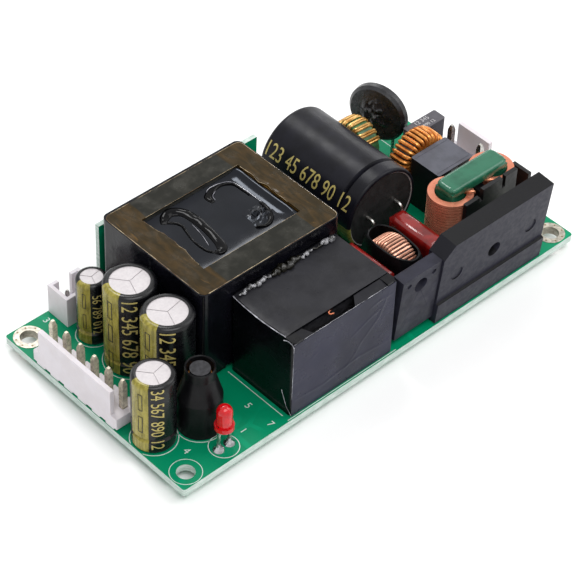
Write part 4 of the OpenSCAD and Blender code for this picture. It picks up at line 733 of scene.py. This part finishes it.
def board_print():
    """Rings and lines round the parts, and figures beside them."""
    ink = Build()
    light, rod, disc = (middle(node) for node in ("status_light", "rod_choke_sleeve", "thermistor_disc"))
    ring_on_board(ink, -HOLE_X, -HOLE_Y, BOARD_HIGH.x - HOLE_X - 0.1 - LINE, LINE - 0.03)
    ring_on_board(ink, light.x, light.y, 2.75)
    for x, y, radius, *_ in CANS:
        ring_on_board(ink, x, y, radius + 0.25)
    ring_on_board(ink, rod.x, rod.y, corners("rod_choke_sleeve")[1].x - rod.x + 0.35)
    choke_low, choke_high = corners("boost_choke_wrap")
    bridge = corners("bridge_rectifier")[1]
    left, near = choke_low.x - 0.9, choke_low.y - 0.35
    ink.box((left, choke_low.y + 1.2, PRINT_LOW), (left + LINE, choke_high.y - 0.4, PRINT_HIGH))
    ink.box((left, near, PRINT_LOW), (choke_high.x + 1.2, near + LINE, PRINT_HIGH))
    ink.box((bridge.x + 0.5, BOARD_LOW.y + 0.7, PRINT_LOW), (bridge.x + 0.5 + LINE, bridge.y + 1, PRINT_HIGH))
    for x in (disc.x - 2.9, disc.x + 2.9):
        ink.box((x - LINE / 2, disc.y - 6, PRINT_LOW), (x + LINE / 2, disc.y + 5.6, PRINT_HIGH))
    for text, size, x, y in BOARD_FIGURES:
        verts, faces = digits(text, size, PRINT_HIGH - PRINT_LOW)
        spot = Vector((BOARD_LOW.x + x, BOARD_LOW.y + y, (PRINT_LOW + PRINT_HIGH) / 2))
        ink.add([spot + Vector((v.y, -v.x, v.z)) for v in verts], faces)
    ink.place("board_print", "white_print", smooth=False)


def via_dots():
    """Small plated holes round each tinned corner pad, and the solder that wets the light's legs on top."""
    dots, solder = Build(), Build()
    top = corners("mounting_pads")[1].z
    reach = (HOLE_D / 2 + 2.95) / 2 + 0.1
    for centre in ((-HOLE_X, HOLE_Y), (HOLE_X, HOLE_Y), (HOLE_X, -HOLE_Y)):
        for k in range(8):
            spot = round_at(centre, reach, radians(22.5 + 45 * k), 0)
            dots.lathe(spot, [(0, top - 0.01), (0.2, top - 0.01), (0.2, top + 0.012), (0, top + 0.008)], 12)
    dots.place("pad_vias", "barrel")
    low, high = corners("status_light_leads")
    rise = [(0, 0), (1.15, 0.0), (1.12, 0.1), (0.85, 0.45), (0.6, 0.7), (0.48, 1.0), (0.38, 1.35), (0, 1.45)]
    for x in (low.x + 0.25, high.x - 0.25):
        solder.lathe((x, (low.y + high.y) / 2), [(r, BOARD_TOP + z) for r, z in rise], 24)
    solder.place("light_solder", "solder")


# ---- printing on the capacitors ----


def can_print():
    """Figures down each can beside its stripe, and small frames down the stripe."""
    gold, black = Build(), Build()
    for x, y, radius, low, high, heading, half, text in CANS:
        skin, size = radius + 0.035, radius * 0.6
        verts, faces = digits(text, size, 0.02)
        run = max(v.x for v in verts) - min(v.x for v in verts)
        squeeze = min(0.85, (high - low) * 0.9 / run)
        turn, z = heading + half + size * 0.62 / radius, (low + high) / 2 + 0.4
        bent = [round_at((x, y), skin + 0.01 + v.z, turn + v.y / radius, z - v.x * squeeze) for v in verts]
        gold.add(bent, faces)
        tall = min(4.2, (high - low) * 0.24)
        for place in (high - 2.1 - tall / 2, high - 3.6 - 1.5 * tall, high - 6.2 - 2.5 * tall):
            if place - tall / 2 >= low + 0.6:
                verts, faces = frame_strip(radius * 0.24, tall, radius * 0.035)
                bent = [round_at((x, y), skin + v.z, heading + 0.1 + v.x / skin, place + v.y) for v in verts]
                black.add(bent, faces)
    verts, faces = digits("123 45 678 90 12", 3.3, 0.02)
    centre, turn, y = BULK_MIDDLE.xz, radians(151), BULK_MIDDLE.y + 0.4
    bent = [round_at(centre, BULK_R + 0.05 + v.z, turn - v.y / BULK_R, y - v.x * 0.72).xzy for v in verts]
    gold.add(bent, faces)
    gold.place("can_numbers", "gold_print", smooth=False)
    black.place("can_marks", "black_print", smooth=False)


# ---- tape over the transformer's core and winding ----

CORE_TOP = corners("transformer_core")[1].z
SHEET_Z = WINDING_HIGH.z + 0.95
SHEET_THICK = 0.12


def sheet_height(x, y):
    """How high the glossy tape over the winding lies: it curves up to the core at its right end and long sides."""
    end = max(0.0, (x - (WINDING_HIGH.x - 2.0)) / 2.0)
    near = max(0.0, (WINDING_LOW.y + 3.6 - y) / 3.6)
    far = max(0.0, (y - (WINDING_HIGH.y - 2.0)) / 2.0)
    swell = 0.72 + 0.28 * sin(pi * (y - WINDING_LOW.y) / (WINDING_HIGH.y - WINDING_LOW.y))
    rise = 0.62 * swell * end * end + 0.42 * near * near + 0.3 * far * far
    return min(SHEET_Z + rise + 0.05 * ripple(x * 0.2, y * 0.2, 3.1), CORE_TOP - 0.08)


def window_sheet():
    """Glossy tape stretched over the winding, tucked under the core's edges."""
    low, high = WINDING_LOW - Vector((0.9, 0.08, 0)), WINDING_HIGH + Vector((0.9, 0.08, 0))

    def top(u, v):
        x, y = low.x + u * (high.x - low.x), low.y + v * (high.y - low.y)
        return (x, y, sheet_height(x, y))

    sheet = Build()
    sheet.grid(top, lowered(top, SHEET_THICK), 110, 90)
    sheet.place("window_tape_sheet", "window_tape", sharp=70)


def on_winding(path, steps):
    """A curve through points measured from the winding's low corner."""
    return smooth([(WINDING_LOW.x + x, WINDING_LOW.y + y, 0) for x, y in path], steps)


def ribbon(build, path, widths, rise, seed):
    """A strip of tape along a path on the sheet, raised in the middle, with its half width at each path point."""
    line = on_winding(path, 10)
    count = len(line) - 1

    def top(u, v):
        k = min(int(u * count), count - 1)
        run = (line[min(k + 2, count)] - line[max(k - 1, 0)]).normalized()
        across = 2 * v - 1
        aside = across * between(widths, u * (len(widths) - 1))
        x, y, _ = between(line, u * count) + Vector((-run.y, run.x, 0)) * aside
        bulge = rise * (1 - across * across) ** 0.6 * (1 + 0.3 * ripple(x * 0.5, y * 0.5, seed))
        return (x, y, sheet_height(x, y) + bulge * eased(min(u, 1 - u) * 12 + 0.15))

    def bottom(u, v):
        x, y, _ = top(u, v)
        return (x, y, sheet_height(x, y) - 0.1)

    build.grid(top, bottom, max(40, count), 16)


# Where the tape folded over itself, a wide black fold at the left and a loop at the right: the path of each
# fold's middle, its half width at each point, how far it rises and the seed of its waves.
FOLDS = (
    (
        ((2.1, 14.5), (3.2, 15.7), (5.0, 16.1), (6.7, 14.9), (7.3, 12.3), (7.2, 8.9), (6.8, 5.7), (6.2, 3.3),
         (5.2, 2.3), (4.2, 2.9)),
        (0.6, 0.95, 1.0, 1.1, 1.1, 0.95, 0.95, 1.05, 0.9, 0.5), 0.5, 2.0,
    ),
    (
        ((4.2, 2.7), (3.3, 4.5), (3.2, 7.7), (3.9, 10.5), (4.3, 12.1), (3.8, 13.5), (2.6, 14.7)),
        (0.3, 0.3, 0.22, 0.26, 0.3, 0.3, 0.3), 0.3, 4.0,
    ),
    (
        ((13.0, 13.1), (13.1, 14.9), (14.9, 15.8), (17.3, 15.8), (19.0, 14.7), (19.3, 12.3), (19.4, 9.9)),
        (0.4, 0.75, 0.6, 0.32, 0.2, 0.16, 0.12), 0.34, 6.0,
    ),
    (((19.5, 7.7), (19.3, 5.1), (18.1, 3.0), (16.2, 2.1), (14.2, 3.0)), (0.2, 0.5, 0.6, 0.4, 0.15), 0.42, 8.0),
)

# Thin lit edges of the folds: path, radius, and how far above the sheet.
FOLD_EDGES = (
    (((2.6, 15.4), (4.2, 16.5), (5.8, 16.4), (7.6, 14.9), (8.1, 12.1), (8.0, 8.5)), 0.05, 0.12),
    (((5.9, 11.1), (5.6, 8.9), (5.1, 6.7), (4.5, 4.9)), 0.045, 0.1),
    (((12.5, 14.3), (14.2, 16.3), (17.3, 16.2), (19.3, 15.0), (19.7, 11.5), (19.7, 7.5)), 0.06, 0.14),
    (((13.5, 13.2), (13.9, 14.4), (15.2, 15.2)), 0.06, 0.24),
    (((19.7, 5.9), (19.0, 3.7), (17.2, 1.9)), 0.06, 0.16),
)


def window_folds():
    """The folds in the glossy tape, a crumpled patch by the loop, and the folds' lit edges."""
    folds, crumple, lines = Build(), Build(), Build()
    for fold in FOLDS:
        ribbon(folds, *fold)
    # The folds use the darker copy of the window tape: painted shade.
    folds.place("window_tape_folds", "fold_tape_painted_shade", sharp=75)

    def crumpled(u, v):
        x, y = WINDING_LOW.x + 14.6 + u * 5.4, WINDING_LOW.y + 2.1 + v * 5.4
        fade = eased(3 * min(u, 1 - u)) * eased(3 * min(v, 1 - v))
        rise = 0.85 * max(-0.1, ripple(x * 1.3, y * 1.3, 2.0) + 0.25) * fade
        return (x + 0.35 * ripple(x, y, 6.0), y, sheet_height(x, y) + 0.015 + rise)

    crumple.grid(crumpled, lowered(crumpled, SHEET_THICK), 9, 10)
    crumple.place("window_tape_crumple", "window_tape", smooth=False)
    for path, radius, lift in FOLD_EDGES:
        points = [(x, y, sheet_height(x, y) + lift) for x, y, _ in on_winding(path, 8)]
        ends = [min(i, len(points) - 1 - i) / len(points) for i in range(len(points))]
        lines.tube(points, [radius * (0.25 + 0.75 * eased(6 * end)) for end in ends], 6)
    lines.place("window_tape_edges", "edge_light")


def on_frame(low, high, share, radius=0.0):
    """A point on a rectangle's edge, its corners rounded, at a share of the way round from the near left corner."""
    ends = [Vector(end) for end in ((low.x, low.y), (high.x, low.y), (high.x, high.y), (low.x, high.y))]
    side = int(share * 4) % 4
    p = ends[side].lerp(ends[(side + 1) % 4], share * 4 % 1)
    heart = Vector([min(max(p[k], low[k] + radius), high[k] - radius) for k in (0, 1)])
    away = p - heart
    return heart + away.normalized() * radius if away.length > radius else p


def top_film():
    """The amber and clear tape over the core's top face, its rim turned up onto the wrap, and pale tubes of painted
    highlight along its rim and torn edges.
    """
    wrap_low, wrap_high = corners("transformer_wrap")
    inner_low, inner_high = WINDING_LOW.xy - Vector((1.1, 0.1)), WINDING_HIGH.xy + Vector((1.1, 0.1))
    outer_low, outer_high = wrap_low.xy + Vector((0.26, 0.26)), wrap_high.xy - Vector((0.26, 0.61))
    film_z = wrap_high.z + 0.07
    around, across = 480, 30

    def outer_at(share):
        return on_frame(outer_low, outer_high, share, 1.2)

    def torn_at(share):
        """A point on the torn edge over the winding, and how far the tear at its right end has come there."""
        p = on_frame(inner_low, inner_high, share)
        bow = sin(pi * eased((p.y - inner_low.y) / (inner_high.y - inner_low.y)))
        left, right = eased(1 - (p.x - inner_low.x)) * bow, eased(1 - (inner_high.x - p.x)) * bow
        p.x += left * (0.75 + 0.5 * ripple(p.y * 0.5, 2, 0)) + right * (0.1 + 0.7 * ripple(p.y * 0.4, 8, 0))
        return p, right

    def section(share):
        """The film cut across: out along its top, back along its underside."""
        (a, right), b = torn_at(share), outer_at(share)
        upper, lower = [], []
        for t in (k / across for k in range(across + 1)):
            p = a.lerp(b, t)
            z = film_z + 0.05 * ripple(p.x * 0.4, p.y * 0.4, 9) * sin(pi * t)
            z += right * 0.3 * max(0.0, 1 - t * 7) * (0.6 + 0.8 * ripple(p.y * 0.6, 3, 5))
            upper.append((*p, z))
            lower.append((*p, CORE_TOP + 0.02 if (b - p).length > 1.3 else wrap_high.z + 0.01))
        return upper + lower[::-1]

    film, lines = Build(), Build()
    film.loft([section(i / around) for i in range(around)], closed=True)
    film.place("transformer_top_film", "top_film", sharp=70)

    def outline(at, z, first, last, thick):
        steps = max(12, round((last - first) * 220))
        spots = [at((first + (last - first) * i / steps) % 1) for i in range(steps + 1)]
        radii = [thick * (0.75 + 0.5 * ripple(i * 0.3, thick * 40, 0)) for i in range(steps + 1)]
        lines.tube([(x, y, z + 0.02 * ripple(x, y, 0)) for x, y in spots], radii, 6)

    # Thin pale tubes along the outer rim and stretches of the torn edge: painted highlights where the tape's edges
    # catch the light.
    outline(outer_at, wrap_high.z + 0.03, 0.01, 0.99, 0.07)
    for first, last, thick in ((0.3, 0.49, 0.06), (0.5, 0.74, 0.035), (0.02, 0.24, 0.03), (0.76, 0.98, 0.04)):
        outline(lambda share: torn_at(share)[0], film_z, first, last, thick)
    lines.place("transformer_film_edge_highlights", "gold_edge_highlight")


# ---- boost choke: loose top sheet, corner flaps, creased front and glue ----

# Creases of the front tape, x and z from the wrap's low corner. The first four are deeper.
CREASES = (
    ((16.8, 7.5), (21.4, 11.7), (23.9, 16.9)), ((14.2, 10.7), (18.8, 12.7), (22.6, 13.9)),
    ((0.4, 3.9), (7.8, 3.3), (16.8, 4.5), (25.0, 3.5)), ((18.3, 15.1), (21.8, 15.9), (25.0, 15.5)),
    ((4.4, 11.9), (6.4, 12.9)), ((11.8, 2.5), (15.6, 5.7), (17.8, 8.9)),
)


def choke_sheet(low, high):
    """The loose sheet on top, and the light on its left edge and on the wrap's near edges."""
    near, far = low.y + 2.25, high.y - 0.3
    thick = 0.07

    def top(u, v):
        left = low.x + 0.15 - 0.42 * sin(pi * min(1, (1 - v) * 1.05)) ** 0.8
        x, y = left + u * (high.x - 0.12 - left), near + v * (far - near)
        droop = 0.16 * max(0.0, 1 - u * 14) ** 2
        lift = 0.12 * max(0.0, 1 - v * 9) * (0.6 + 0.4 * sin(u * 11))
        return (x, y, high.z + 0.1 + 0.03 * ripple(x * 0.35, y * 0.35, 1.3) + lift - droop)

    def bottom(u, v):
        x, y, z = top(u, v)
        return (x, y, max(z - thick, high.z + 0.005) if x > low.x else z - thick)

    sheet, edge = Build(), Build()
    sheet.grid(top, bottom, 80, 40)
    # The sheet is the choke's black tape in a lighter tone: painted light on the top.
    sheet.place("boost_choke_sheet", "choke_tape_painted_light", sharp=60)
    steps = range(31)
    path = [Vector(top(0, i / 30)) + Vector((-0.03, 0, 0)) for i in steps]
    edge.tube(path, [0.06 + 0.05 * sin(0.9 * i) ** 2 for i in steps], 8)
    x, y, z = low.x + 0.06, low.y - 0.03, high.z
    curl = [(x - 0.7, low.y + 2.0, z - 0.02), (x - 0.25, low.y + 1.2, z - 0.1), (x - 0.05, low.y + 0.3, z - 0.55)]
    edge.tube(smooth(curl + [(x, y, z - 1.1)], 6), 0.07, 8)
    edge.tube([(x, y, z - 1.1), (x + 0.02, y, z * 0.5), (x, y, low.z + 4.6)], 0.035, 6)
    side = low.x - 0.04
    edge.tube([(side, low.y + 2.6, low.z + 5.2), (side, low.y + 1.2, low.z + 1.8), (x, y, low.z + 0.3)], 0.045, 6)
    brow = [low.x + 0.2 + 0.5 * k for k in range(49)]
    edge.tube([(x, low.y + 0.04, z - 0.42 + 0.03 * sin(x * 2.0)) for x in brow], 0.035, 6)
    edge.place("boost_choke_sheet_edge", "edge_light")


def choke_flaps(low, high):
    """Tape ends folded in from both sides onto the near edge."""
    flaps = Build()
    for x0, x1, slant0, slant1, seed in (
        (low.x + 0.1, low.x + 5.0, 0.0, -1.2, 2.2), (high.x - 10.4, high.x - 0.1, 1.6, 0.0, 8.4),
    ):
        def top(u, v):
            x = x0 + u * (x1 - x0) + (slant0 * (1 - u) + slant1 * u) * v
            y = low.y + 0.02 + v * 2.1
            return (x, y, high.z - 0.42 + 0.32 * v + 0.05 * ripple(x * 0.9, y * 1.4, seed))

        flaps.grid(top, lowered(top, 0.07), 24, 8)
    # The flaps share the top's lighter tone of the black tape: painted light.
    flaps.place("boost_choke_flaps", "choke_tape_painted_light", sharp=60)


def choke_front(low, high):
    """The creased tape on the front, lighter and bluer than the same tape on the choke's sides: painted light."""
    lines = [[Vector((low.x + x, low.z + z, 0)) for x, z in crease] for crease in CREASES]

    def flat(u, v):
        x, z = low.x + 0.06 + u * (high.x - low.x - 0.12), low.z + 0.1 + v * (high.z - low.z - 0.62)
        return (x, low.y - 0.004, z)

    def creased(u, v):
        x, _, z = flat(u, v)
        depth = 0.05 + 0.035 * ripple(x * 0.28, z * 0.28, 5.0)
        for k, line in enumerate(lines):
            gap, share = path_distance(Vector((x, z, 0)), line)
            fade = exp(-((gap / 0.3) ** 2)) * sin(pi * share) ** 0.5
            depth += (0.06 if k < 4 else 0.035) * fade
        return (x, low.y - depth, z)

    front = Build()
    front.grid(creased, flat, 150, 100)
    front.place("boost_choke_front", "front_tape_painted_light", sharp=75)


def choke_wire_end(low, high):
    """The loop of bare wire behind the flaps."""
    glint = Build()
    x, y, z = low.x + 10.7, low.y + 1.95, high.z - 0.75
    loop = ((0.9, 0.5, 0.3), (0.2, 0.35, 0.42), (-0.35, 0.05, 0.42), (-0.3, -0.35, 0.34), (0.4, -0.45, 0.2))
    glint.tube(smooth([(x + dx, y + dy, z + dz) for dx, dy, dz in loop], 6), 0.16, 10)
    glint.place("boost_choke_wire_end", "copper")


def glue_rope():
    """Clear glue squeezed along the top of the choke, dark where it pooled and white where it is crinkled; the
    white patches are partly the glue's own whitening and partly painted highlights on the crinkles.
    """
    low, high = corners("glue_bead")
    y, z = (low.y + high.y) / 2 - 0.35, low.z + 0.3
    white = ((-0.4, 8.06, 0.52), (14.26, 17.86, 0.42), (19.76, high.x - low.x + 0.1, 0.68))
    clear = ((7.26, 14.86, 0.95), (17.56, 20.06, 0.2))
    for name, material, stands_for, parts in (
        ("glue_white_and_painted_highlights", "glue", ("glue_bead",), white), ("glue_clear", "dark_glue", (), clear),
    ):
        rope = Build()
        for first, last, radius in parts:
            x0, x1 = low.x + first, low.x + last
            steps = max(16, round((x1 - x0) * 9))
            points, radii = [], []
            for i in range(steps + 1):
                x = x0 + (x1 - x0) * i / steps
                swell = sin(pi * i / steps) ** 0.35 if 0 < i < steps else 0.12
                aside = 0.18 * sin(x * 1.7) + 0.1 * sin(x * 5.3)
                points.append((x, y + aside, z + 0.06 * sin(x * 3.1)))
                radii.append(radius * max(0.12, swell) * (0.8 + 0.2 * sin(x * 4.1)))
            rope.tube(points, radii, 16)
        for v in rope.verts:
            q = v * 2.2
            push = 0.16 * noise.noise(q) + 0.1 * noise.noise(q * 2.3 + Vector((4, 1, 9)))
            v += Vector((0, v.y - y, v.z - z)) * push * 1.6
            v.z = max(v.z, low.z - 0.02)
        rope.place(name, material, sharp=180, stands_for=stands_for)


# ---- wound rings ----


def wound_ring(node, axis, inner, wire, starts, sweep, turns, deep=0.0, strands=1):
    """Wire in even turns round a ring core whose axis is X or Y, swept from each start, in degrees.

    Every other turn lies deep further in. Also returns the core's middle, radius and half its thickness."""
    low, high = corners(node)
    centre, outer = (low + high) / 2, (high.z - low.z) / 2
    half_t = (high.y - low.y if axis == "Y" else high.x - low.x) / 2
    half_r, half_h = (outer - inner) / 2 + wire * 1.02, half_t + wire * 1.02
    per_turn, squareness = 28, 0.42
    step = radians(sweep) / turns
    build = Build()
    for start, strand in ((start, strand) for start in starts for strand in range(strands)):
        aside = (strand - (strands - 1) / 2) * 2.05 * wire / outer
        points = []
        for t in (i / per_turn for i in range(turns * per_turn + 1)):
            c, s = cos(2 * pi * t + pi), sin(2 * pi * t + pi)
            radius = (inner + outer) / 2 + half_r * signed(c, squareness)
            if c < 0 and int(t + 0.5) % 2:
                radius -= deep * abs(c)
            turn = radians(start) + step * t + aside
            x, z, along = round_at((0, 0), radius, turn, half_h * signed(s, squareness))
            points.append(centre + Vector((x, along, z) if axis == "Y" else (along, x, z)))
        build.tube(points, wire, 8)
    return build, centre, outer, half_t


def drops(build, spots, high, wire):
    """Straight wires from the turns down through the board."""
    for x, y in spots:
        build.tube([(x, y, -1.1), (x, y, 1), (x, y, high)], wire, 10)


def windings():
    wire = 0.38
    build, centre, outer, half_t = wound_ring("ring_choke_core", "Y", 3.0, wire, (-64,), 308, 29)
    y = centre.y - half_t - 0.05 - wire
    drops(build, [(centre.x + side * outer / 2, y) for side in (-1, 1)], centre.z - outer * 0.7, wire)
    build.place("ring_choke_turns", "amber_wire", stands_for=("ring_choke_winding",))

    wire = 0.25
    low, high = corners("mains_ring_winding")
    build, centre, outer, _ = wound_ring("mains_ring_core", "X", 2.4, wire, (25, 205), 130, 7, strands=2)
    spots = [(x, centre.y + side * outer / 2) for x in (low.x + wire, high.x - wire) for side in (-1, 1)]
    drops(build, spots, centre.z - outer * 0.7, wire)
    build.place("mains_ring_turns", "gold_wire", stands_for=("mains_ring_winding",))

    x = corners("sleeved_choke_winding")[0].x + wire
    build, centre, outer, _ = wound_ring("sleeved_choke_core", "X", 2.3, wire, (-70,), 320, 38, deep=0.6)
    drops(build, [(x, centre.y + side * outer / 2) for side in (-1, 1)], centre.z - outer * 0.7, wire)
    build.place("sleeved_choke_turns", "pale_copper", stands_for=("sleeved_choke_winding",))


# ---- sleeves, resin and small parts ----


def shrink_tube():
    """The tube round the sleeved choke: straight at its foot, drawn in and waved at its rim."""
    low, high = corners("sleeved_choke_sleeve")
    centre, half = (low + high) / 2, (high - low) / 2
    wall, rows = 0.34, 26
    angles = [2 * pi * k / 96 for k in range(96)]

    def ring(t, inset):
        power = 2 / (5.2 - 2.6 * t ** 3)
        pull = inset + 0.28 * max(0.0, (t - 0.8) / 0.2) ** 2
        out = []
        for a in angles:
            in_by = pull - 0.05 * sin(a * 3 + 4 * t) - 0.03 * sin(a * 7)
            x, y = (half.x - in_by) * signed(cos(a), power), (half.y - in_by) * signed(sin(a), power)
            rim = (0.22 * sin(a * 2 + 0.6) + 0.08 * sin(a * 5)) * t ** 6
            out.append((centre.x + x, centre.y + y, low.z + (high.z - low.z) * t + rim))
        return out

    heights = [i / rows for i in range(rows + 1)]
    tube = Build()
    tube.loft([ring(t, 0.0) for t in heights] + [ring(1 - t, wall) for t in heights], closed=True)
    tube.place("sleeved_choke_tube", "shrink", stands_for=("sleeved_choke_sleeve",), sharp=60)


def disc_lumps():
    """Resin that set in lumps over the lead ends on the face of the disc."""
    centre = middle("thermistor_disc")
    c, s = cos(radians(15)), sin(radians(15))
    out, side = Vector((-c, -s, 0)), Vector((-s, c, 0))
    reach, face = 3.9, 1.2

    def sheet(lumpy):
        def spot(u, v):
            r = reach * (0.001 + u)
            y, z = r * cos(2 * pi * v), r * sin(2 * pi * v) + 0.3
            lumps = max(0.0, ripple(y * 0.95, z * 0.95, 2) + 0.5 * ripple(y * 2.1, z * 2.1, 6))
            bump = max(0.0, 1 - (r / reach) ** 2) * (0.2 + 0.85 * lumps + 0.12 * cos(y * 2.4))
            return centre + out * (face - 0.03 + lumpy * bump) + side * y + Vector((0, 0, z))

        return spot

    lumps = Build()
    lumps.grid(sheet(1), sheet(0), 26, 72)
    lumps.place("thermistor_resin", "disc", sharp=75)


def light_insides():
    """The cup and post that show dimly through the red epoxy."""
    x, y, _ = middle("status_light")
    z = corners("status_light")[0].z + 0.4
    build = Build()
    build.box((x - 1.0, y - 0.18, z), (x - 0.15, y + 0.18, z + 2.2))
    build.box((x + 0.25, y - 0.15, z), (x + 0.85, y + 0.15, z + 2.5))
    cup = ((0, 2.2), (0.3, 2.2), (0.55, 2.7), (0.42, 2.72), (0, 2.45))
    build.lathe((x - 0.45, y), [(r, z + rise) for r, rise in cup], 20)
    build.place("light_post", "light_metal")


def box_marks():
    """Plain figures on the small box capacitor, pressed rims on the larger one."""
    ink, rim = Build(), Build()
    centre, top = middle("box_capacitor"), corners("box_capacitor")[1].z
    for text, size, dy in (("12 345", 1.0, 0.75), ("67 890 12", 0.8, -0.7)):
        verts, faces = digits(text, size, 0.015)
        ink.add([v + Vector((centre.x, centre.y + dy, top + 0.012)) for v in verts], faces)
    ink.place("box_numbers", "grey_print", smooth=False)
    low, high = corners("x_capacitor")
    for y in (low.y + 0.75, high.y - 0.9):
        rim.box((low.x + 0.4, y, high.z - 0.02), (high.x - 0.4, y + 0.15, high.z + 0.05))
    rim.place("x_capacitor_ribs", "x_box", smooth=False)


def core_coat():
    """The thick varnish over the line choke's upper bar, rounder than the ferrite under it."""
    low, high = corners("line_choke_core")
    foot, top = corners("line_choke_coils")[1].z + 0.35, high.z + 0.12
    over, corner, brow, steps = 0.18, 1.5, 0.85, 8
    quarter = [radians(90 * k / steps) for k in range(steps + 1)]
    room = corner - over
    left, right, near, far = low.x + room, high.x - room, low.y + room, high.y - room

    def loop(inset, z):
        out = []
        for turn, centre in enumerate(((right, far), (left, far), (left, near), (right, near))):
            for a in (turn * pi / 2 + part for part in quarter):
                wave = 0.05 * ripple(centre[0] + cos(a), centre[1] + sin(a), z * 0.8)
                out.append(round_at(centre, corner - inset + wave, a, z))
        return out

    loops = [loop(0.25, foot), loop(0.05, foot + 0.12), loop(0, foot + 0.3)]
    loops += [loop(brow * (1 - cos(a)), top - brow + brow * sin(a)) for a in quarter]
    coat = Build()
    coat.loft(loops)
    coat.place("line_choke_core_coat", "green_core", sharp=80)


def coil_ends():
    """Copper ends of the line choke's coils in the notches of its wall."""
    low, high = corners("line_choke_base")
    build = Build()
    for x in (-3.4, 1.9):
        spot = Vector((middle("line_choke_core").x + x, low.y + 1.4, high.z))
        path = ((-0.7, 2.0, -1.9), (-0.5, 0.9, -1.2), (0, 0.35, -1.05), (0.5, 0.5, -1.6))
        build.tube(smooth([spot + Vector(p) for p in path], 6), 0.3, 10)
    build.place("line_choke_wire_ends", "copper")


board_print()
via_dots()
can_print()
window_sheet()
window_folds()
top_film()
for part in (choke_sheet, choke_flaps, choke_front, choke_wire_end):
    part(*corners("boost_choke_wrap"))
glue_rope()
windings()
shrink_tube()
disc_lumps()
light_insides()
box_marks()
core_coat()
coil_ends()


# ---- floor, light and camera, in metres ----

FLOOR_HALF = 3.0
LAMP_DISTANCE = 1.2


def floor():
    z = corners("solder_joints")[0].z * MM
    rim = [(x * FLOOR_HALF, y * FLOOR_HALF, z) for x, y in ((-1, -1), (1, -1), (1, 1), (-1, 1))]
    mesh = bpy.data.meshes.new("floor")
    mesh.from_pydata(rim, [], [(0, 1, 2, 3)])
    look = Look("white_floor", Roughness=0.9)
    look.fed(look.shader, Base_Color=look.blend((60,), (251, 251, 251), (255, 255, 255)))
    mesh.materials.append(look.material)
    made = placed("floor", mesh)


def world():
    """Even light on the object, and full white where the camera, a reflection or clear parts show the world."""
    scene.world = having(bpy.data.worlds.new("studio"), use_nodes=True)
    tree = scene.world.node_tree
    tree.nodes.clear()
    ray = add_node(tree, "ShaderNodeLightPath").outputs
    seen = add_node(tree, "ShaderNodeMath", ray["Is Camera Ray"], ray["Is Transmission Ray"], operation="MAXIMUM")
    shone = add_node(tree, "ShaderNodeMath", seen.outputs[0], ray["Is Glossy Ray"], operation="MAXIMUM")
    light, white = (add_node(tree, "ShaderNodeBackground", (1, 1, 1, 1), strength) for strength in (0.58, 1.0))
    mixed = add_node(tree, "ShaderNodeMixShader", shone.outputs[0], light.outputs[0], white.outputs[0])
    add_node(tree, "ShaderNodeOutputWorld", mixed.outputs[0])


def direction(azimuth, elevation):
    """The way from the object to a place at these angles in radians; azimuth 0 is its near side."""
    level = cos(elevation)
    return Vector((sin(azimuth) * level, -cos(azimuth) * level, sin(elevation)))


def lamp(name, azimuth, elevation, width, height, power):
    """A soft box of light that looks at the middle of the object, placed by its angles in degrees."""
    data = having(bpy.data.lights.new(name, "AREA"), shape="RECTANGLE", size=width, size_y=height, energy=power)
    away = direction(radians(azimuth), radians(elevation))
    place = away * LAMP_DISTANCE + Vector((0, 0, 0.01))
    having(placed(name, data), location=place, rotation_euler=away.to_track_quat("Z", "Y").to_euler())


def camera():
    """The photograph's view: its turn, height, tilt, the object's place in it and the length of its lens."""
    azimuth, elevation, roll = -0.779092, 0.764201, 0.044454
    across, up_shift, distance = 1.69797, -0.31953, 441.52606
    focal, photo_side, sensor = 2296.25, 576, 36
    back = direction(azimuth, elevation)
    right = Vector((cos(azimuth), sin(azimuth), 0))
    up = back.cross(right)
    c, s = cos(roll), sin(roll)
    right, up = right * c + up * s, up * c - right * s
    place = (back * distance - right * across - up * up_shift) * MM
    data = having(
        bpy.data.cameras.new("photo_view"),
        sensor_width=sensor, lens=sensor * focal / photo_side, clip_start=0.01, clip_end=20,
    )
    turn = Matrix((right, up, back)).transposed().to_4x4()
    scene.camera = having(placed("photo_view", data), matrix_world=Matrix.Translation(place) @ turn)


floor()
world()
lamp("key", -20, 62, 0.9, 0.6, 7)
lamp("side", 60, 45, 0.5, 0.9, 3.5)
lamp("back", 162, 58, 0.4, 0.25, 4)
lamp("strip", 121, 13, 0.3, 0.12, 0.5)
lamp("rear", 148, 26, 0.5, 0.16, 1.2)
camera()
scene.view_settings.view_transform = "Standard"
